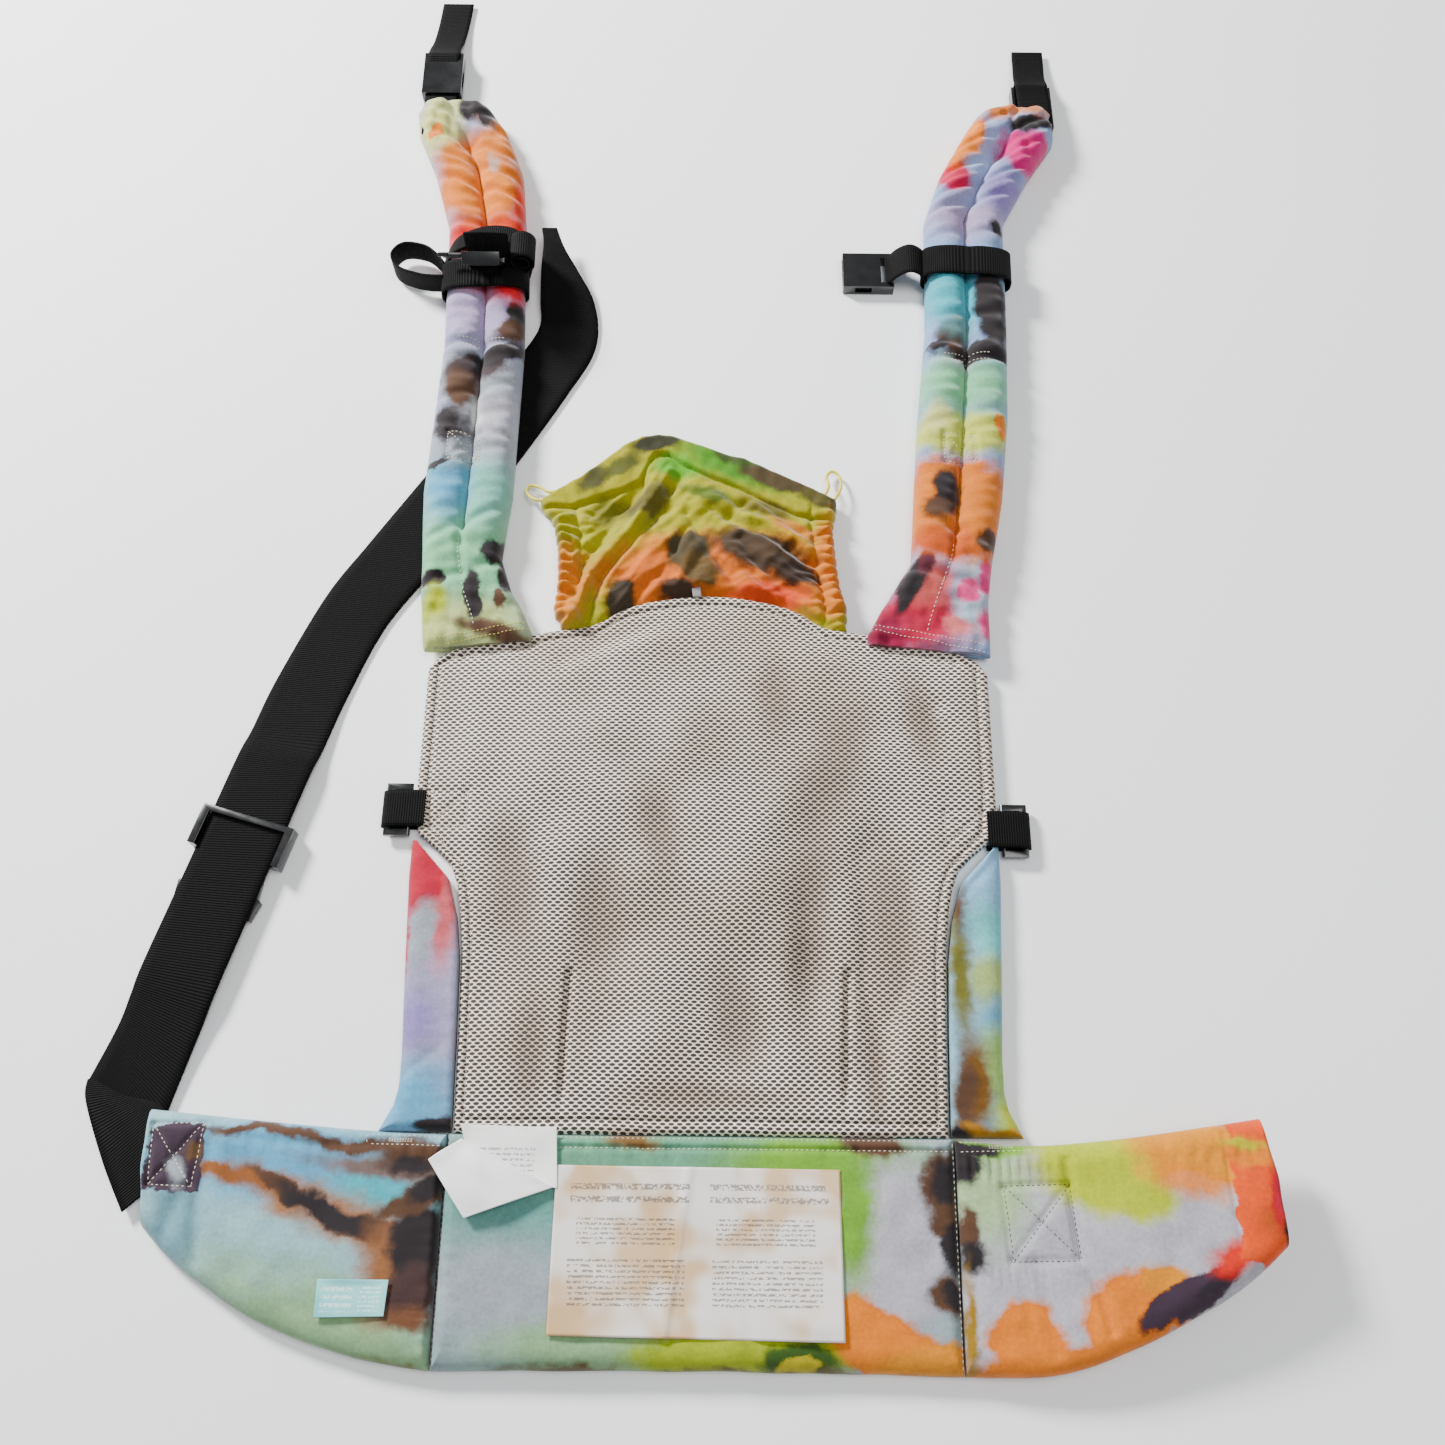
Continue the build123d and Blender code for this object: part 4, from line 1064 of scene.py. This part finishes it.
# ---- hood --------------------------------------------------------------------------------
HOOD_LEFT = [(396, -97), (410, -105), (433, -103), (455, -104), (480, -109), (496, -117),
             (513, -92), (529, -76), (546, -49)]
HOOD_RIGHT = [(396, 92), (410, 93), (433, 88), (470, 84), (496, 88), (504, 74), (513, 56),
              (529, 24), (546, -20)]
HOOD_TOP = [(-119, 494), (-104, 505), (-92, 513), (-76, 527), (-62, 540), (-49, 547), (-38, 549),
            (-28, 548), (-10, 541), (4, 535), (24, 529), (40, 521), (56, 513), (72, 505), (88, 496)]
BAND_LOW = [(-119, 488), (-98, 487), (-62, 501), (-50, 508), (-43, 526), (-40, 531), (-30, 531),
            (-20, 523), (0, 513), (20, 504), (40, 493), (60, 483), (88, 478)]
HOOD_DYE_AND_FOLD_SHADOW = [
    (20, 522, 50, 14, -20, srgb(86, 140, 52), 0.7), (-40, 538, 16, 8, 10, srgb(44, 44, 24), 0.5),
    (-82, 508, 14, 9, 38, srgb(70, 68, 34), 0.6), (-62, 520, 16, 7, 34, srgb(86, 88, 40), 0.6),
    (50, 511, 30, 10, -22, srgb(72, 60, 38), 0.5), (16, 530, 16, 6, -20, srgb(60, 76, 34), 0.6),
    (76, 496, 12, 8, -20, srgb(80, 74, 38), 0.6), (-25, 520, 16, 8, 0, srgb(96, 168, 40), 0.8),
    (-44, 492, 17, 10, 40, srgb(96, 88, 36), 0.6), (-70, 484, 12, 9, 30, srgb(118, 116, 44), 0.7),
    (-2, 498, 20, 6, -14, srgb(92, 108, 40), 0.7), (40, 486, 18, 6, -24, srgb(106, 96, 36), 0.7),
    (8, 432, 88, 34, 0, srgb(216, 106, 16), 0.5), (-98, 424, 14, 30, 0, srgb(216, 130, 20), 0.6),
    (84, 440, 12, 38, 0, srgb(222, 124, 22), 0.6), (40, 419, 26, 9, 0, srgb(226, 92, 66), 0.7),
    (-13, 451, 19, 17, 10, srgb(74, 64, 44), 0.3), (-6, 438, 14, 12, 0, srgb(92, 74, 46), 0.5),
    # the two dark brown blots on the next line are painted shadow below the right fold of the hood
    (38, 450, 38, 14, -24, srgb(66, 50, 36), 0.4), (62, 436, 16, 8, -20, srgb(52, 38, 30), 0.5),
    (-61, 416, 11, 16, -14, srgb(60, 50, 38), 0.35), (-21, 424, 13, 7, 0, srgb(66, 48, 36), 0.5),
    (60, 470, 22, 6, -20, srgb(196, 120, 24), 0.6)]


def hood_outline(u, w):
    foot_x = mix(-104, 93, u)
    top_x = mix(-119, 88, u)
    top = value_on(HOOD_TOP, top_x)
    foot = value_on(HEAD, abs(foot_x)) - 3.0
    y = mix(foot, top, w)
    straight = mix(394, 494, w)
    x = mix(value_on(HOOD_LEFT[:6], straight), value_on(HOOD_RIGHT[:5], straight), u)
    return mix(x, top_x, ease(0.8, 1, w)), y


def hood_surface(x, y):
    height = swell(x, y, 0, 445, 90, 40, 5) + ripple(x, y, 30, 4.6, 11) + ripple(x, y, 12, 1.8, 12)
    left_fold = [(-85, 398), (-75, 430), (-62, 450), (-45, 470), (-30, 500)]
    right_fold = [(0, 488), (40, 465), (75, 443), (82, 405)]
    height += crease(x, y, left_fold, 5.0, 5.0) + crease(x + 7, y, left_fold, 5.0, -5.0)
    height += crease(x, y, right_fold, 4.5, 4.5) + crease(x - 3, y - 6, right_fold, 5.0, -4.0)
    height += crease(x, y, [(-60, 405), (-30, 440), (-18, 470)], 3.6, 2.8)
    height += crease(x, y, [(20, 424), (2, 450), (-16, 482)], 4.0, 3.4)
    height += crease(x, y, [(55, 412), (40, 436), (20, 462)], 3.6, 3.0)
    height += crease(x, y, [(-50, 512), (-40, 480), (-22, 450)], 3.4, 2.2)
    height += crease(x, y, [(-100, 420), (-70, 470), (-56, 500)], 4.2, 2.6)
    height += crease(x, y, [(30, 497), (10, 480)], 3.0, 2.4)
    height += rumple(x, y, 62, 42, 13, 2.8, 41) * ease(20, -40, x)
    height += rumple(x, y, 148, 46, 12, 2.8, 43) * ease(-20, 30, x)
    height += rumple(x, y, 0, 26, 7, 1.8, 45) * (ease(-66, -92, x) + ease(52, 74, x))
    return height + rumple(x, y, 20, 16, 9, 0.9, 47)


def make_hood():
    def form(u, w, _):
        u, w = bunched(u), bunched(w)
        x, y = hood_outline(u, w)
        band = y - value_on(BAND_LOW, x)
        height = 9.0 + hood_surface(x, y) * ease(2, -10, band) * ease(0, 0.08, w)
        height += 3.6 * ease(-2, 3, band) + ripple(x * 1.2, y, 11, 1.6, 14) * ease(-4, 6, band)
        height -= 2.2 * math.exp(-(band / 1.5) ** 2)
        beside = min(u, 1 - u) * 200
        edge = ease(16, 0, beside) * ease(0.96, 0.8, w)
        height += edge * (2.6 * math.sin(y * 0.86 + ripple(x, y, 20, 3, 2)) + 2.0)
        height -= 2.4 * math.exp(-((beside - 15) / 2.2) ** 2) * ease(0.96, 0.8, w)
        x += edge * (0.8 * math.sin(y * 0.86)) * (-1 if u < 0.5 else 1)
        height = mix(3.6, height, dome(min(beside, (1 - w) * 140), 5))
        return x, y, max(2.4, min(24.0, mix(3.8, height, ease(0.0, 0.09, w))))
    hood = put("hood_gathered_cloth", shaped(sheet_of(190, 150), form),
               dyed_cloth("dyed twill hood and fold shadow", srgb(168, 162, 34), HOOD_DYE_AND_FOLD_SHADOW, 1.25), "hood")
    thick(hood, 1.4)
    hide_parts("hood_cloth", "hood_top_band", "hood_side_elastics")
    sew("hood_band_stitches", hood, [[(x, y - 1.6) for x, y in BAND_LOW]], YELLOW_THREAD, "hood",
        3.2, 2.3, 0.8)
    for name, route, body_node in (
            ("left_hood_cord", [(-109, 498, 9), (-116, 494, 9), (-124, 495, 8), (-130, 502, 6),
                                (-128, 508, 5), (-121, 506, 6), (-114, 501, 8), (-106, 502, 9)],
             "left_hood_loop"),
            ("right_hood_cord", [(80, 500, 9), (83, 508, 8), (82, 518, 5), (86, 523, 4),
                                 (91, 519, 4), (92, 510, 6), (90, 503, 8), (87, 497, 9)],
             "right_hood_loop")):
        line = [spline(route, i / 48) for i in range(49)]
        tube = sheet_of(8, 48)

        def tube_form(u, w, _, line=line):
            i = min(47, int(w * 48))
            ahead = (line[i + 1] - line[i]).normalized()
            side = Vector((0, 0, 1)).cross(ahead).normalized()
            up = ahead.cross(side)
            turn = 2 * math.pi * u
            centre = line[min(48, round(w * 48))]
            return centre + (side * math.cos(turn) + up * math.sin(turn)) * 1.1
        shaped(tube, tube_form)
        bmesh.ops.remove_doubles(tube, verts=tube.verts, dist=0.001)
        bmesh.ops.holes_fill(tube, edges=tube.edges, sides=12)
        bmesh.ops.recalc_face_normals(tube, faces=tube.faces)
        cord = put(name, tube, YELLOW_ELASTIC, "hood")
        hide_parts(body_node)


make_hood()


# ---- waist webbing -----------------------------------------------------------------------
HEADING = math.radians(74)
OVER_PLUG = 7.4


def on_run(along, across, z=0.0):
    """A place on the raised run of the waist webbing."""
    c, s = math.cos(HEADING), math.sin(HEADING)
    return (-295 + along * c + across * s, 245 + along * s - across * c, z)


def make_waist_webbing():
    left = [(-368, 92, 1.4), on_run(-132, -25, 2.0), on_run(-112, -25, 4.5),
            *(on_run(along, -25, OVER_PLUG) for along in (-95, -50, 0, 50)),
            on_run(70, -25, 4.0), on_run(110, -25, 1.4), (-263, 420, 1.2), (-239, 460, 1.2),
            (-214, 500, 1.2), (-189, 540, 1.2), (-166, 580, 1.2), (-146, 615, 1.6),
            (-130, 645, 3), (-130, 668, 8), (-130, 690, 14), (-129, 712, 18), (-131, 726, 18)]
    right = [(-330, 28, 1.6), on_run(-150, 25, 3.0), on_run(-118, 25, 5.0),
             *(on_run(along, 25, OVER_PLUG) for along in (-95, -50, 0, 50)),
             on_run(70, 25, 4.0), on_run(110, 25, 1.4), (-221, 395, 1.2), (-196, 435, 1.2),
             (-172, 475, 1.2), (-147, 515, 1.2), (-124, 555, 1.2), (-105, 590, 1.2),
             (-90, 620, 1.2), (-86, 645, 1.2), (-91, 672, 3), (-103, 694, 8), (-114, 712, 14),
             (-120, 728, 16)]
    run = ribbon("waist_webbing_run", left, right, WEBBING, "waistband", segments=420)
    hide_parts("waist_webbing", "waist_webbing_tail")


make_waist_webbing()


# ---- labels ------------------------------------------------------------------------------
def make_label(name, corners, height, finish, node, body, lift):
    """A sewn label; corners run from its low left round to its high left."""
    a, b, c, d = (Vector(p + (0,)) for p in corners)

    def form(u, w, _):
        point = a.lerp(b, u).lerp(d.lerp(c, u), w)
        beside = min(u, 1 - u, w, 1 - w)
        z = height + lift(point.x, point.y, u, w)
        z += ripple(point.x, point.y, 30, 1.0, 21) * ease(0, 0.2, beside)
        return point.x, point.y, z
    label = thick(put(name, shaped(sheet_of(110, 60), form), finish, body), 0.35, 1.0)
    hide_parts(node)
    return label


def care_lift(x, y, u, w):
    height = 1.2 * math.sin(u * 9 + w * 3) * 0.6 + crease(x, y, [(-20, -48), (-6, 46)], 3, -1.2)
    return height + crease(x, y, [(30, -48), (24, 46)], 4, 0.9) + swell(x, y, 66, -38, 14, 8, 1.5)


def make_labels():
    rules = [(38, 24, 7, -74, -6), (38, 24, 7, 6, 74), (18, 2, 2.6, -70, -14),
             (18, 2, 2.6, 10, 66), (-4, -30, 2.9, -74, -8), (-4, -30, 2.9, 8, 70)]
    satin = satin_label("warm satin label", srgb(196, 160, 112), srgb(222, 214, 206),
                        srgb(74, 58, 52), rules)
    big = make_label("large_label_satin", [(-84, -45), (82, -47), (81, 45), (-83, 46)], 15.4,
                     satin, "information_label", "waistband", care_lift)
    edge = [[(-81, -42), (79, -44)], [(79, -44), (78, 42)], [(78, 42), (-80, 43)],
            [(-80, 43), (-81, -42)]]
    sew("large_label_stitches", big, edge, DARK_THREAD, "waistband", 3.2, 2.2, 0.5)
    teal = satin_label("teal satin label", srgb(104, 180, 184), srgb(132, 204, 204),
                       srgb(214, 232, 230),
                       [(-20, -34, 4.2, -211, -194), (-20, -34, 2.4, -190, -178)])
    small = make_label("small_label_satin", [(-214, -37), (-175, -36), (-174, -17), (-214, -17)],
                       15.6, teal, "fabric_label", "left_wing",
                       lambda x, y, u, w: 0.3 * math.sin(u * 7))
    edge = [[(-212, -35), (-177, -34)], [(-212, -19), (-177, -19)]]
    sew("small_label_stitches", small, edge, CREAM_THREAD, "left_wing", 2.6, 1.8, 0.45)
    white = satin_label("white satin label", srgb(214, 214, 208), srgb(240, 240, 236),
                        srgb(120, 120, 124), [(56, 24, 3.0, -150, -96)])
    make_label("care_tag_back", [(-131, 38), (-82, 33), (-84, 67), (-140, 68)], 15.8, white,
               "care_tag", "care_tag", lambda x, y, u, w: 0.8 * math.sin(u * 6 + 1))
    plain = satin_label("plain satin tag", srgb(220, 220, 216), srgb(246, 246, 244),
                        srgb(210, 210, 208), [])
    make_label("care_tag_flap", [(-134, 16), (-84, 33.5), (-139, 60), (-157, 48)], 18.4, plain,
               "care_tag", "care_tag",
               lambda x, y, u, w: 1.6 * math.sin(math.pi * w) + 1.2 * math.sin(u * 5))


make_labels()


# ---- buckles -----------------------------------------------------------------------------
BUCKLES = {"waist_buckle_socket": "waist_socket", "waist_plug_frame": "waist_plug",
           "waist_plug_left_latch": "waist_plug_left_latch",
           "waist_plug_right_latch": "waist_plug_right_latch",
           "left_side_adjuster_frame": "left_side_adjuster",
           "right_side_adjuster_frame": "right_side_adjuster",
           "left_shoulder_buckle": "left_shoulder_buckle",
           "right_shoulder_buckle": "right_shoulder_buckle",
           "chest_plug_frame": "chest_plug", "chest_plug_upper_latch": "chest_plug_upper_latch",
           "chest_plug_lower_latch": "chest_plug_lower_latch",
           "chest_buckle_socket": "chest_socket"}
SLIM = {"left_shoulder_buckle": (0, -214.5, 0.84), "right_shoulder_buckle": (0, 257.5, 0.84),
        "chest_buckle_socket": (1, 698.0, 0.84), "chest_plug_frame": (2, 44.5, 0.86),
        "chest_plug_upper_latch": (2, 44.5, 0.86), "chest_plug_lower_latch": (2, 44.5, 0.86)}
for node, body in BUCKLES.items():
    moulded(node, body, 0.5 if "latch" in node else 0.7, SLIM.get(node),
            (38, 688, 28) if node.startswith("chest_plug") else None)


# ---- narrow webbing ----------------------------------------------------------------------
def band_round(name, spec, body, high):
    """A band of 25 mm webbing closed round a strap."""
    (cx, cy), half, turn, low = spec

    def form(u, w, _):
        angle = 2 * math.pi * w
        c, s = math.cos(angle), math.sin(angle)
        x = math.copysign(abs(c) ** 0.75, c) * half
        y = (u - 0.5) * 25.0
        level = math.copysign(abs(s) ** 0.62, s)
        z = mix(low, high, 0.5 + 0.5 * level)
        if s > 0:
            z -= 1.2 * math.exp(-(x / 6.5) ** 2)
        z += ripple(x, y, 14, 0.6, cx) if s > 0 else 0
        t = math.radians(turn)
        return cx + x * math.cos(t) - y * math.sin(t), cy + x * math.sin(t) + y * math.cos(t), z
    bm = shaped(mapped(sheet_of(8, 150), 0.025, half * 4.6 * MM), form)
    bmesh.ops.remove_doubles(bm, verts=bm.verts, dist=0.001)
    bmesh.ops.recalc_face_normals(bm, faces=bm.faces)
    band = thick(put(name, bm, WEBBING, body), 1.5, 1.0)
    return band


def moved(points, dx=0, dy=0, dz=0):
    return [(x + dx, y + dy, z + dz) for x, y, z in points]


def strip(name, left, right, body, wall, segments, node=None):
    """A length of webbing that stands for a node, or goes on from a piece that does."""
    made = ribbon(name, left, right, WEBBING, body, wall, segments)
    if node:
        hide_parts(node)


def make_chest_webbing():
    for side, place, half, turn in ((-1, (-167.0, 678.0), 31.0, 2.1),
                                    (1, (192.4, 694.5), 32.4, -2.5)):
        body = SIDES[side] + "_chest_band"
        band = band_round(body + "_loop", (place, half, turn, 2.4), body, BAND_TOP)
        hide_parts(body)
    edge = [(163, 683, 12), (158, 684, 20), (150, 685, 23), (142, 685.5, 18), (136, 685.5, 10),
            (133, 685.5, 8)]
    strip("right_chest_lead", edge, moved(edge, dy=25), "right_chest_band", 1.5, 50)
    strip("left_chest_tail_hump", [(-199, 684, 16), (-190, 696, 25), (-168, 702, 28),
                                   (-146, 700, 27), (-136, 690, 18), (-135, 684, 12)],
          [(-198, 700, 14), (-188, 712, 23), (-167, 720, 26), (-145, 718, 25), (-134, 706, 16),
           (-133, 698, 11)], "left_chest_band", 1.5, 60)
    edge = [(x, y, 3.6) for x, y in [(-198, 678), (-214, 679), (-232, 686), (-238, 698),
                                     (-230, 708), (-214, 706), (-204, 698), (-198, 690)]]
    strip("left_chest_tail_loop", edge, moved(edge, dz=18), "left_chest_band", 1.5, 70,
          "left_chest_tail")
    edge = []
    for step in range(27):
        angle, reach = math.radians(-200 + step * 26), 11.5 - 0.27 * step
        edge.append((-139 + reach * math.cos(angle), 682, 31 + reach * math.sin(angle)))
    strip("chest_tail_roll", edge, moved(edge, dy=22), "left_chest_band", 1.4, 150)
    strip("chest_plug_lead", [(-146, 686, 34), (-156, 686, 33), (-168, 687, 32), (-178, 687, 31)],
          [(-146, 688, 56), (-156, 688, 57), (-168, 688, 57), (-178, 688, 56)],
          "chest_plug", 1.5, 30, "chest_plug_webbing")


def make_shoulder_webbing():
    edge = [(-226, 820, 16), (-227, 850, 13), (-227, 880, 9), (-227, 896, 12), (-227, 904, 15),
            (-227, 910, 12), (-227, 910, 6), (-227, 902, 3)]
    strip("left_shoulder_web", edge, moved(edge, dx=25), "left_strap", 1.5, 80,
          "left_shoulder_webbing")
    strip("left_shoulder_tail", [(-227, 903, 14.6), (-228, 916, 8), (-226, 930, 4),
                                 (-224, 950, 2), (-222, 974, 2)],
          [(-202, 906, 14.6), (-203, 918, 8), (-201, 932, 4), (-199, 952, 2), (-197, 974, 2)],
          "left_strap", 1.5, 60)
    edge = [(245, 838, 16), (245, 856, 15), (245, 872, 13), (245, 880, 13), (245, 886, 9),
            (245, 884, 4), (245, 876, 2.4)]
    strip("right_shoulder_web", edge, moved(edge, dx=25), "right_strap", 1.5, 70,
          "right_shoulder_webbing")
    edge = [(245, 882, 12), (245, 892, 8), (246, 906, 5), (247, 926, 3)]
    strip("right_shoulder_tail", edge, moved(edge, dx=25), "right_strap", 1.5, 50)


def make_short_webbing():
    for side, middle in ADJUSTERS.items():
        edge = [(side * x, middle - 12, z) for x, z in [
            (180, 9.6), (190, 9.4), (199, 9.0), (204.5, 8.0), (207.4, 5.0), (204.5, 2.2),
            (192, 1.6), (180, 1.6)]]
        strip(SIDES[side] + "_side_web", edge, moved(edge, dy=24), "body_panel", 1.4, 50,
              SIDES[side] + "_side_adjuster_webbing")
    strip("left_wing_stub", [(-368, 93, 2.4), (-366, 80, 4.2), (-350, 46, 4.8), (-334, 18, 4.8)],
          [(-366, 94, 2.6), (-344, 84, 4.6), (-318, 76, 5.6), (-306, 44, 5.6)], "left_wing",
          1.5, 50, "left_wing_webbing_anchor")
    edge = [(200, -8, 14), (224, -8, 16), (246, -8, 18)]
    strip("waist_socket_web", edge, moved(edge, dy=50), "right_wing", 1.5, 30,
          "waist_socket_webbing")


make_chest_webbing()
make_shoulder_webbing()
make_short_webbing()


# ---- floor and light ---------------------------------------------------------------------
def make_floor():
    bm = bmesh.new()
    bmesh.ops.create_grid(bm, x_segments=1, y_segments=1, size=6.0)
    mesh = bpy.data.meshes.new("floor")
    bm.to_mesh(mesh)
    bm.free()
    floor = link("floor", mesh)
    floor.location.z = -0.0005
    finish = Finish("pale floor", {"Roughness": 0.85, "Specular IOR Level": 0.2})
    tone = finish.clouds(finish.place(), 3.0, 2.0)
    finish.into("Base Color", finish.blend(tone, srgb(244, 244, 244), srgb(250, 250, 250)))
    mesh.materials.append(finish.material)


def lamp(name, place, aim, size, power):
    data = bpy.data.lights.new(name, "AREA")
    data.shape = "DISK"
    data.size = size
    data.energy = power
    turn = (Vector(place) - Vector(aim)).to_track_quat("Z", "Y").to_matrix().to_4x4()
    link(name, data).matrix_world = Matrix.Translation(place) @ turn


make_floor()
lamp("key light", (-1.7, 1.9, 1.35), (0.0, 0.35, 0.0), 0.6, 200)
lamp("fill light", (0.6, 0.2, 2.6), (0.0, 0.35, 0.0), 1.6, 44)
world = bpy.data.worlds.new("soft room")
world.use_nodes = True
world.node_tree.nodes["Background"].inputs["Color"].default_value = (0.9, 0.95, 1.0, 1)
world.node_tree.nodes["Background"].inputs["Strength"].default_value = 0.42
bpy.context.scene.world = world
